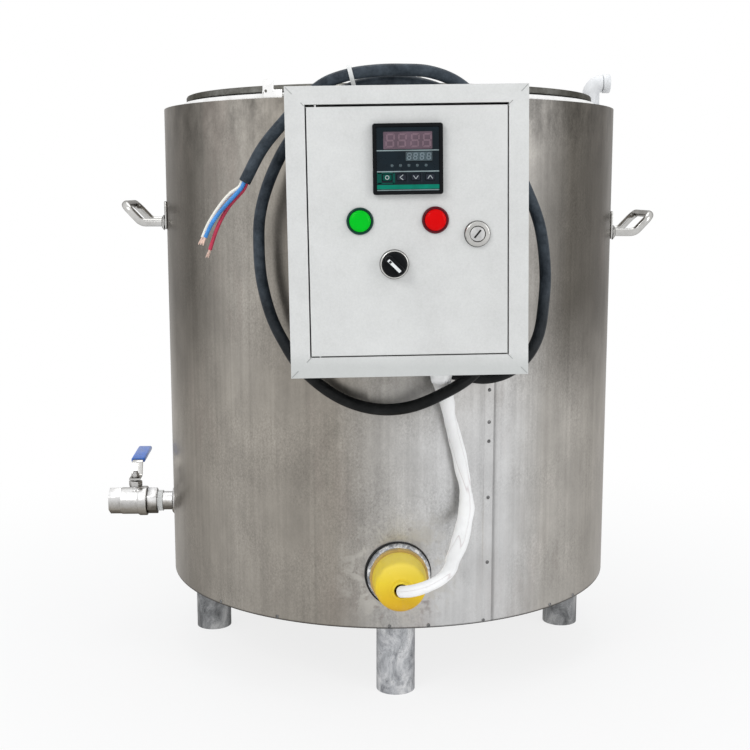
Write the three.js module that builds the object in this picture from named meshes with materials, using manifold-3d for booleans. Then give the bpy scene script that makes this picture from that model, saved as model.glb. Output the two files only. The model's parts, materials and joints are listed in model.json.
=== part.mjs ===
// Electric double boiler: a steel tank on four legs with an inner pot in a water jacket,
// a lift-off lid, an immersion heater low in the front, a ball valve on the pot's outlet,
// a filler elbow on the rim and a control box hung on the front, with its power cable
// looped behind the box.
// Millimetres, +Z up, front towards -Y. The tank stands on its own axis until the end,
// where the origin moves to the middle of the object's footprint on the floor.

import * as THREE from 'three';
import { mergeVertices } from 'three/addons/utils/BufferGeometryUtils.js';
import Module from 'manifold-3d';

const wasm = await Module();
wasm.setup();

// Fits and overruns
const seatGap = 0.3;
const runningGap = 0.4;
const pipeFit = 0.6;
const overrun = 5;
const mergeStep = 0.0001;

// Facets
const tankSides = 60;
const pieceSides = 20;
const smallSides = 12;
const cornerSteps = 2;
const bendSteps = 3;

// Tank shell, base and legs
const tankRadius = 312;
const tankTop = 750;
const tankBottom = 104;
const shellWall = 2;
const seamWidth = 16;
const seamThickness = 1.2;
const seamDegrees = -69;
const basePlateRise = 2;
const basePlateThickness = 2;
const basePlateFlange = 22;
const legRadius = 25;
const legWall = 2.5;
const legInsetX = 53;
const legInsetY = 66;
const legX = tankRadius - legInsetX;
const legY = tankRadius - legInsetY;

// Inner pot, shoulder ring, lid and its handle
const jacketGap = 42;
const potRadius = tankRadius - jacketGap;
const potWall = 2;
const potFloorRise = 113;
const potFloorZ = tankBottom + potFloorRise;
const potFootChamfer = 1.5;
const potRimWidth = 16;
const potRimRadius = potRadius + potRimWidth;
const potRimRise = 5;
const potRimTop = tankTop + potRimRise;
const shoulderThickness = 2;
const shoulderFlange = 14;
const gasketThickness = 1.4;
const gasketWidth = 9;
const lidRimInset = 6;
const lidRadius = potRimRadius - lidRimInset;
const lidThickness = 2;
const lidSkirt = 8;
const lidCorner = 3;
const lidBorder = 42;
const lidStepRadius = lidRadius - lidBorder;
const lidStepWidth = 6;
const lidStepHeight = 3;
const lidHandleSpan = 150;
const lidHandleHeight = 40;
const lidHandleFoot = 22;
const lidHandleSlope = 12;
const lidHandleWidth = 24;
const lidHandleThickness = 4;
const lidHandleBend = 7;

// Side handles
const handleBarWidth = 11;
const handleBarThickness = 8;
const handleHalfSpan = 50;
const handleReach = 34;
const handleRise = 27;
const handleOutreach = 25;
const handleBend = 14;
const handleSides = 10;
const leftHandleDrop = 153;
const rightHandleDrop = 167;
const leftHandleZ = tankTop - leftHandleDrop;
const rightHandleZ = tankTop - rightHandleDrop;
const padWidth = 28;
const padHeight = 38;
const padThickness = 3;
const padLift = 10;
const padRound = 8;

// Outlet pipe and ball valve, on an axis along X at the left side
const outletDrop = 27;
const outletZ = potFloorZ - outletDrop;
const pipeRadius = 13.45;
const pipeWall = 2.65;
const pipeBend = 25;
const pipeRiserInset = 105;
const pipeRiserX = pipeRiserInset - potRadius;
const tapeWidth = 8;
const tapeThickness = 1.2;
const bossRadius = 23;
const bossThickness = 6;
const hexAcrossFlats = 34;
const valveEndOut = 96;
const bodyStartOut = 79;
const ballOut = 58;
const collarStartOut = 53;
const bodyEndOut = 41;
const pipeEndOut = 37;
const hexEndOut = 26;
const valveEndX = -(tankRadius + valveEndOut);
const bodyStartX = -(tankRadius + bodyStartOut);
const collarStartX = -(tankRadius + collarStartOut);
const bodyEndX = -(tankRadius + bodyEndOut);
const hexEndX = -(tankRadius + hexEndOut);
const pipeEndX = -(tankRadius + pipeEndOut);
const bodyRadius = 19.5;
const collarRadius = 21.5;
const portRadius = 9.5;
const ballRadius = 14;
const ballX = -(tankRadius + ballOut);
const chamberRadius = 16;
const seatLip = 3;
const stemRadius = 4;
const stemBossRadius = 9;
const stemBossTop = 22;
const glandTop = 30;
const glandAcrossFlats = 17;
const leverFootZ = 33;
const leverRise = 22;
const leverFootBack = 14;
const leverLength = 108;
const leverClimb = 4;
const leverWidth = 16;
const leverThickness = 2.5;
const leverBend = 7;
const leverFootFront = 10;
const leverRiseRun = 10;
const leverNutHeight = 5;
const leverNutAcrossFlats = 10;
const stemEnd = 44;
const tangWidth = 4.4;
const tangLength = 9;
const tangDepth = 4.5;
const sleeveStart = 34;
const sleeveWall = 1.8;
const sleeveOvershoot = 3;
const sleeveRound = 1.8;

// Immersion heater, on an axis along Y at the front
const heaterRise = 71;
const heaterZ = tankBottom + heaterRise;
const socketRadius = 39;
const socketBore = 29;
const socketProud = 11;
const socketInside = 14;
const plugRadius = 36;
const plugThickness = 7;
const plugSpigot = 22;
const elementRadius = 4.2;
const elementLength = 420;
const elementPitch = 17;
const elementRing = 15;
const elementCount = 3;
const elementSides = 6;
const terminalRadius = 2.5;
const terminalLength = 12;
const capRadius = 33;
const capRim = 10;
const capShoulderRadius = 28;
const capShoulderBack = 16;
const capNoseRadius = 15;
const capNoseBack = 38;
const spoutRadius = 11;
const spoutLength = 11.5;
const capWall = 2.5;

// Control box, hung in front of the tank and tilted a little as it was fitted
const boxWidth = 250;
const boxHeight = 300;
const boxDepth = 150;
const boxWall = 1.5;
const boxCentreDrop = 152;
const boxCentreZ = tankTop - boxCentreDrop;
const boxStandoff = 30;
const boxTiltDegrees = 0.88;
const borderSide = 20.5;
const borderTop = 18.5;
const borderBottom = 21.5;
const lipDepth = 12;
const doorGapSide = 1.5;
const doorGapTop = 2.6;
const doorGapBottom = 1.5;
const doorFlange = 12;
const doorSheet = 1.5;
const hingeInset = 9;
const hingeBack = 4.6;
const hingePinRadius = 1.5;
const hingePinLength = 11;
const hingeHeadRadius = 2.6;
const hingeHeadHeight = 2;
const platePlanWidth = 196;
const platePlanHeight = 236;
const plateThickness = 2;
const plateStandoff = 9;
const plateBossRadius = 6;
const plateBossInset = 14;

// Parts inside the box
const contactorWidth = 46;
const contactorHeight = 76;
const contactorDepth = 78;
const contactorX = -48;
const contactorZ = -66;
const contactorStepHeight = 14;
const contactorStepDepth = 24;
const contactorCrownWidth = 30;
const contactorCrownHeight = 26;
const contactorCrownDepth = 5;
const railHeight = 35;
const railDepth = 7;

// Temperature controller in the door
const controllerX = 0;
const controllerZ = 75.5;
const bezelSize = 72;
const bezelDepth = 6.5;
const bezelRound = 2.5;
const bezelBorder = 3.6;
const caseSize = 67;
const caseDepth = 76;
const caseWallThickness = 2;
const faceRecess = 1;
const faceThickness = 2;
const upperWindowWidth = 50;
const upperWindowHeight = 16;
const upperWindowZ = 17.5;
const lowerWindowWidth = 28;
const lowerWindowHeight = 9.5;
const lowerWindowX = 11;
const lowerWindowZ = 1.5;
const windowDepth = 0.8;
const keyWidth = 9;
const keyHeight = 6;
const keyPitch = 14.7;
const keyFirstX = -21.5;
const keyZ = -18.5;
const keyProud = 0.9;
const keyTravel = 0.6;
const keyLedge = 0.8;
const keyLedgeThickness = 1;
const keyRound = 1.2;

// Lamps, selector switch and cam lock in the door
const greenLampX = -50;
const redLampX = 28;
const lampZ = 13;
const lampHole = 11;
const lampBezelRadius = 14;
const lampBezelProud = 2.5;
const lampBodyDepth = 38;
const lensRadius = 11.2;
const lensProud = 4.5;
const lensBack = 1.4;
const lampSeatWall = 1.2;
const switchX = -15;
const switchZ = -32;
const switchRingRadius = 15;
const switchRingProud = 4;
const switchHole = 11;
const switchBarrel = 14;
const switchBlockSize = 29;
const switchBlockDepth = 28;
const knobRadius = 12.6;
const knobDepth = 8;
const knobGripWidth = 8;
const knobGripHeight = 7;
const knobGripLength = 24;
const knobSkirt = 1.5;
const lockX = 71.5;
const lockZ = -2;
const rosetteRadius = 13.2;
const rosetteProud = 4;
const rosetteEdge = 1.2;
const lockBarrelRadius = 9.5;
const lockBarrelDepth = 14;
const lockPlugRadius = 8;
const lockPlugRecess = 0.6;
const keySlotWidth = 1.6;
const keySlotLength = 9;
const keySlotDepth = 6;
const camLength = 49;
const camWidth = 13;
const camThickness = 2;
const camHead = 8;
const camSquare = 7;
const camTail = 3;

// Box brackets, cable boot and the heater lead's gland
const upperBracketHalfWidth = 21;
const upperBracketRise = 3.6;
const upperBracketTop = tankTop + upperBracketRise;
const upperBracketDrop = 52;
const lowerBracketHalfWidth = 34;
const lowerBracketLow = 58;
const lowerBracketTop = boxCentreZ - lowerBracketLow;
const lowerBracketDrop = 50;
const bracketThickness = 3;
const bootX = -78;
const bootLow = 6;
const bootZ = boxCentreZ - bootLow;
const bootDegrees = 35;
const bootLength = 34;
const bootRootRadius = 10.5;
const bootTipRadius = 8.4;
const bootFlangeRadius = 14;
const bootFlangeThickness = 2.5;
const glandX = 43.6;
const glandBackInset = 10.4;
const glandY = -(tankRadius + boxStandoff + glandBackInset);
const glandHexAcrossFlats = 20;
const glandHexHeight = 5;
const glandDomeRadius = 10;
const glandDomeHeight = 5;
const glandInside = 8;
const glandInsideRadius = 8.6;

// Filler elbow on the shoulder ring
const elbowInset = 17.2;
const elbowX = tankRadius - elbowInset;
const elbowY = 40;
const elbowAxisRise = 43;
const elbowAxisZ = tankTop + elbowAxisRise;
const elbowRadius = 13;
const elbowBore = 10.4;
const elbowReach = 26;
const elbowCollar = 14;
const riserRadius = 10;
const riserBore = 8;
const riserDip = 22;
const riserBottomZ = tankTop - riserDip;
const elbowThroatRadius = 12;

// Power cable and its three cores, from the boot to the bare ends
const cableRadius = 7;
const cableSides = 8;
const cordTurn = 0.26;
const cordStretch = 60;
const cordGap = 1.2;
const coreRadius = 2.3;
const coreSides = 8;
const cableRoute = [
  [-78, -320.2, 560.9], [-78, -315.8, 552.3], [-78, -312.3, 540.5], [-77.5, -310.8, 527], [-76, -311, 509], [-69, -313.5, 489],
  [-54, -317.3, 466], [-28, -320, 446], [6, -321, 435], [40, -319, 429], [73, -317, 422.5],
  [105, -316, 418.5], [133, -315, 426.5], [154, -312, 444], [168, -306, 469], [175, -300, 511],
  [176, -298, 547], [168, -300, 600], [151, -304, 642], [133, -307, 676], [108, -309, 709],
  [78, -314, 739], [42, -319, 758], [0, -321, 766], [-40, -320, 763], [-78, -316, 748],
  [-109, -311, 722], [-135, -304, 689], [-155, -298, 648], [-165, -293, 612], [-167, -291, 579],
  [-164, -293, 535], [-152, -299, 490], [-137, -305, 460], [-119, -311, 433], [-83, -320, 403],
  [-50, -331, 389], [-18, -341, 385.2], [13.7, -351.3, 390.8], [46.3, -358.2, 405.4],
  [79.8, -348.2, 423.3], [104, -334, 446], [119, -325, 477], [127, -321, 523], [129, -319, 580],
  [127, -321, 640], [117, -326, 690], [95, -331, 735], [65, -334, 763], [33, -336, 775],
  [-1, -337, 777], [-30, -337, 776], [-58, -336, 772], [-87, -335, 762], [-112, -334, 742],
  [-134, -333, 719], [-159, -332, 689], [-180, -330, 651],
];
const whiteCoreRoute = [
  [-182.5, -331.4, 651.7], [-186.2, -331.2, 645.1], [-197, -332, 637.5], [-211, -332.3, 621],
  [-223, -332, 602], [-231, -331.5, 584],
];
const blueCoreRoute = [
  [-180.2, -327.1, 650.7], [-183.6, -326.4, 644.1], [-197, -326.3, 629], [-209, -325.8, 616.5],
  [-219, -325.3, 603], [-227, -325, 583],
];
const redCoreRoute = [
  [-178, -331.4, 649.3], [-181.3, -331.2, 642.6], [-199.5, -331.5, 624.5], [-208.5, -331, 611.5],
  [-216, -330.5, 596], [-224, -330, 568],
];
const tieX = -53;
const tieWidth = 5;
const tieThickness = 1.6;
const tieFit = 1.6;
const tieSteps = 5;
const tieSearchDrop = 30;

// White taped lead from the box down the shell to the heater's cap
const leadRadius = 7.5;
const leadSides = 8;
const leadRoute = [
  [46.1, -352.2, 434.5], [46.5, -350.2, 428], [48, -345.2, 420], [50.6, -338.6, 411.5], [54.2, -335, 399],
  [57.8, -329.5, 384.5], [61.6, -324.5, 369], [65.1, -320.8, 353.7], [68.7, -318.7, 339.7],
  [72.8, -317.6, 323.5], [76.9, -317, 305.9], [80.4, -316.5, 287.1], [81.9, -316.4, 269],
  [81.8, -317.5, 255], [79.8, -322, 242.3], [75.5, -332.5, 230.5], [70.4, -348.2, 221.5],
  [65, -362, 214.5], [60.2, -376, 209.6], [56, -390, 206.2], [50, -402.5, 202.2], [40, -411.5, 197],
  [27.5, -414.8, 191.5], [14.6, -411.5, 186.8], [5, -402.5, 182.5], [1, -392.5, 179],
  [0.2, -385, 176.8],
];

// Colours
function finish(colour, metalness, roughness) {
  return new THREE.MeshStandardMaterial({ color: colour, metalness, roughness });
}
const brushedSteel = finish(0x9a968e, 0.9, 0.35);
const polishedSteel = finish(0xd2d2d0, 1, 0.15);
const pipeSteel = finish(0x8d8f92, 0.8, 0.5);
const castSteel = finish(0xb4b4b0, 0.9, 0.35);
const boxPaint = finish(0xdedfdd, 0, 0.5);
const blackPlastic = finish(0x1a1c1e, 0, 0.5);
const darkFace = finish(0x142028, 0, 0.3);
const greenPlastic = finish(0x00b432, 0, 0.25);
const redPlastic = finish(0xd8101c, 0, 0.25);
const yellowPlastic = finish(0xe6c83c, 0, 0.45);
const bluePlastic = finish(0x3c6ed7, 0, 0.4);
const whitePlastic = finish(0xf2f2f0, 0, 0.5);
const whiteCloth = finish(0xeeecea, 0, 0.9);
const cableRubber = finish(0x0c0e10, 0, 0.6);
const blackRubber = finish(0x202020, 0, 0.8);
const brass = finish(0xb89a50, 0.9, 0.35);

// Solids: from three.js geometry to a cut or joined body and back

function closedGeometry(geometry) {
  const plain = geometry.index ? geometry.toNonIndexed() : geometry.clone();
  for (const name of Object.keys(plain.attributes)) if (name !== 'position') plain.deleteAttribute(name);
  const merged = mergeVertices(plain, mergeStep);
  const triangles = [];
  const index = merged.index.array;
  for (let i = 0; i < index.length; i += 3) {
    const [a, b, c] = [index[i], index[i + 1], index[i + 2]];
    if (a !== b && b !== c && c !== a) triangles.push(a, b, c);
  }
  merged.setIndex(triangles);
  return signedVolume(merged) < 0 ? turnedInsideOut(merged) : merged;
}

function signedVolume(geometry) {
  const { array } = geometry.attributes.position;
  const index = geometry.index.array;
  const corner = (i) => new THREE.Vector3().fromArray(array, index[i] * 3);
  let volume = 0;
  for (let i = 0; i < index.length; i += 3) {
    volume += corner(i).dot(corner(i + 1).cross(corner(i + 2))) / 6;
  }
  return volume;
}

function turnedInsideOut(geometry) {
  const index = Array.from(geometry.index.array);
  for (let i = 0; i < index.length; i += 3) [index[i + 1], index[i + 2]] = [index[i + 2], index[i + 1]];
  geometry.setIndex(index);
  return geometry;
}

function solidFrom(geometry) {
  const closed = closedGeometry(geometry);
  return new wasm.Manifold(new wasm.Mesh({
    numProp: 3,
    vertProperties: new Float32Array(closed.attributes.position.array),
    triVerts: new Uint32Array(closed.index.array),
  }));
}

function geometryFrom(solid) {
  const { vertProperties, triVerts } = solid.getMesh();
  const geometry = new THREE.BufferGeometry();
  geometry.setAttribute('position', new THREE.BufferAttribute(new Float32Array(vertProperties), 3));
  geometry.setIndex(new THREE.BufferAttribute(new Uint32Array(triVerts), 1));
  return geometry;
}

function cut(geometry, ...tools) {
  return geometryFrom(tools.reduce((solid, tool) => solid.subtract(solidFrom(tool)), solidFrom(geometry)));
}

function join(geometry, ...others) {
  return geometryFrom(others.reduce((solid, other) => solid.add(solidFrom(other)), solidFrom(geometry)));
}

// Shapes

function revolve(profile, sides = pieceSides) {
  const points = profile.map((point) => (point.isVector2 ? point : new THREE.Vector2(point[0], point[1])));
  const first = points[0];
  const last = points[points.length - 1];
  if (first.x > 0 || last.x > 0) points.push(first.clone());
  return closedGeometry(new THREE.LatheGeometry(points, sides).rotateX(Math.PI / 2));
}

function rod(radius, length, sides = pieceSides) {
  return revolve([[0, 0], [radius, 0], [radius, length], [0, length]], sides);
}

function pipe(outer, inner, from, to, sides = pieceSides) {
  return revolve([[inner, from], [outer, from], [outer, to], [inner, to]], sides);
}

function block(width, depth, height) {
  return new THREE.BoxGeometry(width, depth, height);
}

function slab(shape, thickness, curveSegments = cornerSteps) {
  return new THREE.ExtrudeGeometry(shape, { depth: thickness, bevelEnabled: false, curveSegments });
}

function roundedRectangle(width, height, radius) {
  const [x, y] = [width / 2, height / 2];
  const shape = new THREE.Shape();
  shape.absarc(x - radius, y - radius, radius, 0, Math.PI / 2);
  shape.absarc(radius - x, y - radius, radius, Math.PI / 2, Math.PI);
  shape.absarc(radius - x, radius - y, radius, Math.PI, Math.PI * 1.5);
  shape.absarc(x - radius, radius - y, radius, Math.PI * 1.5, Math.PI * 2);
  shape.closePath();
  return shape;
}

function hexagon(acrossFlats, height) {
  return rod(acrossFlats / Math.sqrt(3), height, 6);
}

// A route through corner points, with each inner corner rounded
function roundedRoute(points, bend) {
  const corners = points.map((point) => new THREE.Vector3(...point));
  const route = new THREE.CurvePath();
  let from = corners[0];
  for (let i = 1; i < corners.length - 1; i += 1) {
    const corner = corners[i];
    const before = corner.clone().add(from.clone().sub(corner).setLength(bend));
    const after = corner.clone().add(corners[i + 1].clone().sub(corner).setLength(bend));
    route.add(new THREE.LineCurve3(from, before));
    route.add(new THREE.QuadraticBezierCurve3(before, corner, after));
    from = after;
  }
  route.add(new THREE.LineCurve3(from, corners[corners.length - 1]));
  return route;
}

// A convex section carried through a line of points, mitred at each of them
function swept(section, points, up = new THREE.Vector3(0, 0, 1)) {
  const along = points.slice(1).map((point, i) => point.clone().sub(points[i]).normalize());
  const start = Math.abs(up.dot(along[0])) > 0.9 ? new THREE.Vector3(0, 1, 0) : up;
  const normals = [start.clone().projectOnPlane(along[0]).normalize()];
  for (let i = 1; i < along.length; i += 1) {
    const turn = new THREE.Quaternion().setFromUnitVectors(along[i - 1], along[i]);
    normals.push(normals[i - 1].clone().applyQuaternion(turn));
  }
  const corners = points.flatMap((point, i) => {
    const k = Math.min(i, along.length - 1);
    const facing = along[k].clone().add(along[Math.max(i - 1, 0)]).normalize();
    const across = along[k].clone().cross(normals[k]);
    return section.map(({ x, y }) => {
      const reach = normals[k].clone().multiplyScalar(x).addScaledVector(across, y);
      return reach.addScaledVector(along[k], -reach.dot(facing) / along[k].dot(facing)).add(point);
    });
  });
  const sides = section.length;
  const index = [];
  for (let i = 0; i < points.length - 1; i += 1) {
    for (let j = 0; j < sides; j += 1) {
      const [a, b] = [i * sides + j, i * sides + ((j + 1) % sides)];
      index.push(a, b, b + sides, a, b + sides, a + sides);
    }
  }
  const last = (points.length - 1) * sides;
  for (let j = 1; j < sides - 1; j += 1) index.push(0, j + 1, j, last, last + j, last + j + 1);
  const geometry = new THREE.BufferGeometry().setFromPoints(corners);
  geometry.setIndex(index);
  return closedGeometry(geometry);
}

function ovalSection(width, height, sides) {
  return Array.from({ length: sides }, (_, i) => {
    const angle = ((i + 0.5) / sides) * Math.PI * 2;
    return new THREE.Vector2((width / 2) * Math.cos(angle), (height / 2) * Math.sin(angle));
  });
}

function roundSection(radius, sides) {
  return ovalSection(radius * 2, radius * 2, sides);
}

function flatSection(thickness, width) {
  const [x, y] = [thickness / 2, width / 2];
  return [[-x, -y], [x, -y], [x, y], [-x, y]].map(([a, b]) => new THREE.Vector2(a, b));
}

function smoothRoute(points) {
  return new THREE.CatmullRomCurve3(points.map((point) => new THREE.Vector3(...point)), false, 'centripetal');
}

// A flat bar bent in the XZ plane, as wide along Y as given
function bentBar(points, bend, thickness, width) {
  const line = roundedRoute(points.map(([x, z]) => [x, 0, z]), bend).getPoints(bendSteps);
  return swept(flatSection(thickness, width), line);
}

// Turns from the Z axis to the axis a piece stands on
const towardsX = (geometry) => geometry.rotateY(Math.PI / 2);
const towardsY = (geometry) => geometry.rotateX(-Math.PI / 2);

// Tank

const shellInside = tankRadius - shellWall;
const basePlateZ = tankBottom + basePlateRise;
const tankFront = rod(tankRadius + seatGap, tankTop + overrun, tankSides);

function outerShell() {
  const wall = pipe(tankRadius, shellInside, tankBottom, tankTop, tankSides);
  const halfSeam = seamWidth / tankRadius / 2;
  const centre = THREE.MathUtils.degToRad(seamDegrees);
  const strip = new THREE.Shape();
  strip.absarc(0, 0, tankRadius + seamThickness, centre - halfSeam, centre + halfSeam, false);
  strip.absarc(0, 0, tankRadius - shellWall / 2, centre + halfSeam, centre - halfSeam, true);
  const seam = slab(strip, tankTop - tankBottom).translate(0, 0, tankBottom);
  const outletHole = towardsX(rod(pipeRadius + pipeFit, tankRadius)).translate(-tankRadius - bossRadius, 0, outletZ);
  const heaterHole = towardsY(rod(socketRadius + seatGap, tankRadius)).translate(0, -tankRadius - overrun, heaterZ);
  return cut(join(wall, seam, outletBoss()), outletHole, heaterHole);
}

// The weld round the outlet pipe, run into the wall
function outletBoss() {
  const foot = shellWall + bossThickness;
  const cone = towardsX(revolve([
    [0, 0], [bossRadius, 0], [bossRadius, foot], [pipeRadius + bossThickness / 2, foot + bossThickness], [0, foot + bossThickness],
  ])).rotateZ(Math.PI).translate(-tankRadius + bossThickness, 0, outletZ);
  return cut(cone, rod(tankRadius - shellWall / 2, tankTop, tankSides));
}

function basePlate() {
  const edge = shellInside - seatGap;
  const top = basePlateZ + basePlateThickness;
  return revolve([
    [0, basePlateZ], [edge, basePlateZ], [edge, basePlateZ + basePlateFlange],
    [edge - basePlateThickness, basePlateZ + basePlateFlange], [edge - basePlateThickness, top], [0, top],
  ], tankSides);
}

function leg() {
  return pipe(legRadius, legRadius - legWall, 0, basePlateZ - seatGap);
}

// Inner pot and what closes the top

function potOutline() {
  const under = potFloorZ - potWall;
  const lipBottom = tankTop + seatGap;
  const path = new THREE.Path();
  path.moveTo(0, under);
  path.lineTo(potRadius - potFootChamfer, under);
  path.lineTo(potRadius, under + potFootChamfer);
  path.lineTo(potRadius, potRimTop - potWall);
  path.lineTo(potRimRadius - potWall, potRimTop - potWall);
  path.lineTo(potRimRadius - potWall, lipBottom);
  path.lineTo(potRimRadius, lipBottom);
  path.lineTo(potRimRadius, potRimTop);
  path.lineTo(potRadius - potWall, potRimTop);
  path.lineTo(potRadius - potWall, potFloorZ);
  path.lineTo(0, potFloorZ);
  return path.getPoints(1);
}

function innerPot() {
  const drain = rod(pipeRadius + pipeFit, potWall + overrun * 2);
  drain.translate(pipeRiserX, 0, potFloorZ - potWall - overrun);
  return cut(revolve(potOutline(), tankSides), drain);
}

function shoulderRing() {
  const outer = shellInside - seatGap;
  const inner = potRadius + seatGap;
  const foot = tankTop - shoulderFlange;
  const under = tankTop - shoulderThickness;
  const ring = revolve([
    [inner, under], [outer - shoulderThickness, under], [outer - shoulderThickness, foot], [outer, foot],
    [outer, tankTop], [inner, tankTop],
  ], tankSides);
  return cut(ring, riserHole());
}

function riserHole() {
  return rod(riserRadius + seatGap, tankTop).translate(elbowX, elbowY, overrun);
}

const gasketZ = potRimTop + seatGap;
const lidSkirtZ = gasketZ + gasketThickness + seatGap;
const lidEdgeZ = lidSkirtZ + lidSkirt;
const lidTopZ = lidEdgeZ + lidStepHeight;

function lidGasket() {
  return pipe(lidRadius, lidRadius - gasketWidth, gasketZ, gasketZ + gasketThickness, tankSides);
}

function lid() {
  const path = new THREE.Path();
  path.moveTo(lidRadius - lidThickness, lidSkirtZ);
  path.lineTo(lidRadius, lidSkirtZ);
  path.absarc(lidRadius - lidCorner, lidEdgeZ - lidCorner, lidCorner, 0, Math.PI / 2, false);
  path.lineTo(lidStepRadius + lidStepWidth, lidEdgeZ);
  path.lineTo(lidStepRadius, lidTopZ);
  path.lineTo(0, lidTopZ);
  path.lineTo(0, lidTopZ - lidThickness);
  path.lineTo(lidStepRadius, lidTopZ - lidThickness);
  path.lineTo(lidStepRadius + lidStepWidth, lidEdgeZ - lidThickness);
  path.lineTo(lidRadius - lidThickness, lidEdgeZ - lidThickness);
  return revolve(path.getPoints(1), tankSides);
}

function lidHandle() {
  const half = lidHandleSpan / 2;
  const foot = lidHandleThickness / 2;
  const shoulder = half - lidHandleFoot;
  const top = lidHandleHeight - foot;
  const points = [
    [-half, foot], [-shoulder, foot], [lidHandleSlope - shoulder, top],
    [shoulder - lidHandleSlope, top], [shoulder, foot], [half, foot],
  ];
  return bentBar(points, lidHandleBend, lidHandleThickness, lidHandleWidth).translate(0, 0, lidTopZ + seatGap);
}

// Side handles: a bent bar on two pads, drawn for the right side

function sideHandle(armZ) {
  const wallX = Math.sqrt(tankRadius ** 2 - handleHalfSpan ** 2);
  const knee = tankRadius + handleReach;
  const tip = knee + handleOutreach;
  const root = wallX + padThickness / 2;
  const route = roundedRoute([
    [root, -handleHalfSpan, armZ], [knee, -handleHalfSpan, armZ], [tip, -handleHalfSpan, armZ + handleRise],
    [tip, handleHalfSpan, armZ + handleRise], [knee, handleHalfSpan, armZ], [root, handleHalfSpan, armZ],
  ], handleBend).getPoints(bendSteps);
  const bar = swept(ovalSection(handleBarWidth, handleBarThickness, handleSides), route);
  const plate = roundedRectangle(padHeight, padWidth, padRound);
  const pads = [-1, 1].map((side) => {
    const turn = side * Math.asin(handleHalfSpan / tankRadius);
    const depth = padThickness * 2 + overrun;
    const pad = slab(plate, depth).translate(0, 0, tankRadius + padThickness - depth);
    return pad.rotateY(Math.PI / 2).rotateZ(turn).translate(0, 0, armZ + padLift);
  });
  return cut(join(bar, ...pads), tankFront);
}

// Outlet pipe and ball valve

function outletPipe() {
  const line = (spare) => roundedRoute([
    [pipeEndX - spare, 0, outletZ], [pipeRiserX, 0, outletZ], [pipeRiserX, 0, potFloorZ + seatGap + spare],
  ], pipeBend).getPoints(bendSteps);
  const outside = swept(roundSection(pipeRadius, pieceSides), line(0));
  return cut(outside, swept(roundSection(pipeRadius - pipeWall, pieceSides), line(overrun)));
}

function threadTape() {
  const ring = pipe(pipeRadius + pipeFit + tapeThickness, pipeRadius + pipeFit, 0, tapeWidth);
  return towardsX(ring).translate(hexEndX + seatGap, 0, outletZ);
}

function valveBody() {
  const length = bodyEndX - valveEndX;
  const hexLength = bodyStartX - valveEndX;
  const hex = towardsX(hexagon(hexAcrossFlats, hexLength + overrun));
  const chamfer = towardsX(revolve([
    [0, 0], [hexAcrossFlats / 2, 0], [hexAcrossFlats / 2 + overrun, overrun], [hexAcrossFlats / 2 + overrun, length],
    [0, length],
  ]));
  const hexEnd = geometryFrom(solidFrom(hex).intersect(solidFrom(chamfer)));
  const barrel = towardsX(revolve([
    [0, hexLength], [bodyRadius - overrun / 2, hexLength], [bodyRadius, hexLength + overrun / 2],
    [bodyRadius, collarStartX - valveEndX], [collarRadius, collarStartX - valveEndX + overrun / 2],
    [collarRadius, length], [0, length],
  ]));
  const boss = rod(stemBossRadius, stemBossTop).translate(ballX - valveEndX, 0, 0);
  const bore = towardsX(rod(portRadius, length)).translate(-overrun, 0, 0);
  const mouth = towardsX(rod(pipeRadius, hexLength)).translate(-overrun, 0, 0);
  const chamber = towardsX(rod(chamberRadius, length));
  chamber.translate(ballX - ballRadius - seatLip - valveEndX, 0, 0);
  const stemBore = rod(stemRadius + runningGap, stemBossTop + overrun).translate(ballX - valveEndX, 0, 0);
  return cut(join(hexEnd, barrel, boss), bore, mouth, chamber, stemBore).translate(valveEndX, 0, outletZ);
}

function valveEndCap() {
  const length = hexEndX - bodyEndX;
  const hex = towardsX(hexagon(hexAcrossFlats, length - seatGap)).translate(bodyEndX + seatGap, 0, outletZ);
  const spigot = towardsX(rod(chamberRadius - seatGap, seatLip + overrun));
  spigot.translate(capSpigotX(), 0, outletZ);
  const bore = towardsX(rod(portRadius, length * 4)).translate(bodyEndX - length, 0, outletZ);
  const thread = towardsX(rod(pipeRadius + pipeFit, length * 2)).translate(pipeEndX - seatGap, 0, outletZ);
  return cut(join(hex, spigot), bore, thread);
}

function capSpigotX() {
  return ballX + ballRadius + seatLip + seatGap;
}

function valveBall() {
  const ball = new THREE.SphereGeometry(ballRadius, pieceSides, pieceSides / 2).rotateX(Math.PI / 2);
  const port = towardsY(rod(portRadius, ballRadius * 2 + overrun)).translate(0, -ballRadius - overrun / 2, 0);
  const slot = block(tangWidth + runningGap * 2, ballRadius * 2, tangDepth).translate(0, 0, ballRadius - tangDepth / 2);
  return cut(ball, port, slot).translate(ballX, 0, outletZ);
}

function valveSeat(side) {
  const reach = ballRadius + seatLip - seatGap;
  const ring = pipe(chamberRadius - seatGap, portRadius, ballRadius / 2, reach);
  const placed = (side < 0 ? towardsX(ring).rotateZ(Math.PI) : towardsX(ring)).translate(ballX, 0, outletZ);
  const clearance = new THREE.SphereGeometry(ballRadius + runningGap, pieceSides, pieceSides / 2);
  return cut(placed, clearance.rotateX(Math.PI / 2).translate(ballX, 0, outletZ));
}

function valveStem() {
  const bottom = ballRadius + runningGap;
  const shaft = rod(stemRadius, stemEnd - bottom, smallSides).translate(0, 0, bottom);
  const tang = block(tangWidth, tangLength, tangDepth).translate(0, 0, bottom + runningGap - tangDepth / 2);
  const foot = geometryFrom(solidFrom(tang).intersect(solidFrom(rod(tangLength / 2, stemEnd))));
  return join(shaft, foot).translate(ballX, 0, outletZ);
}

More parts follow.
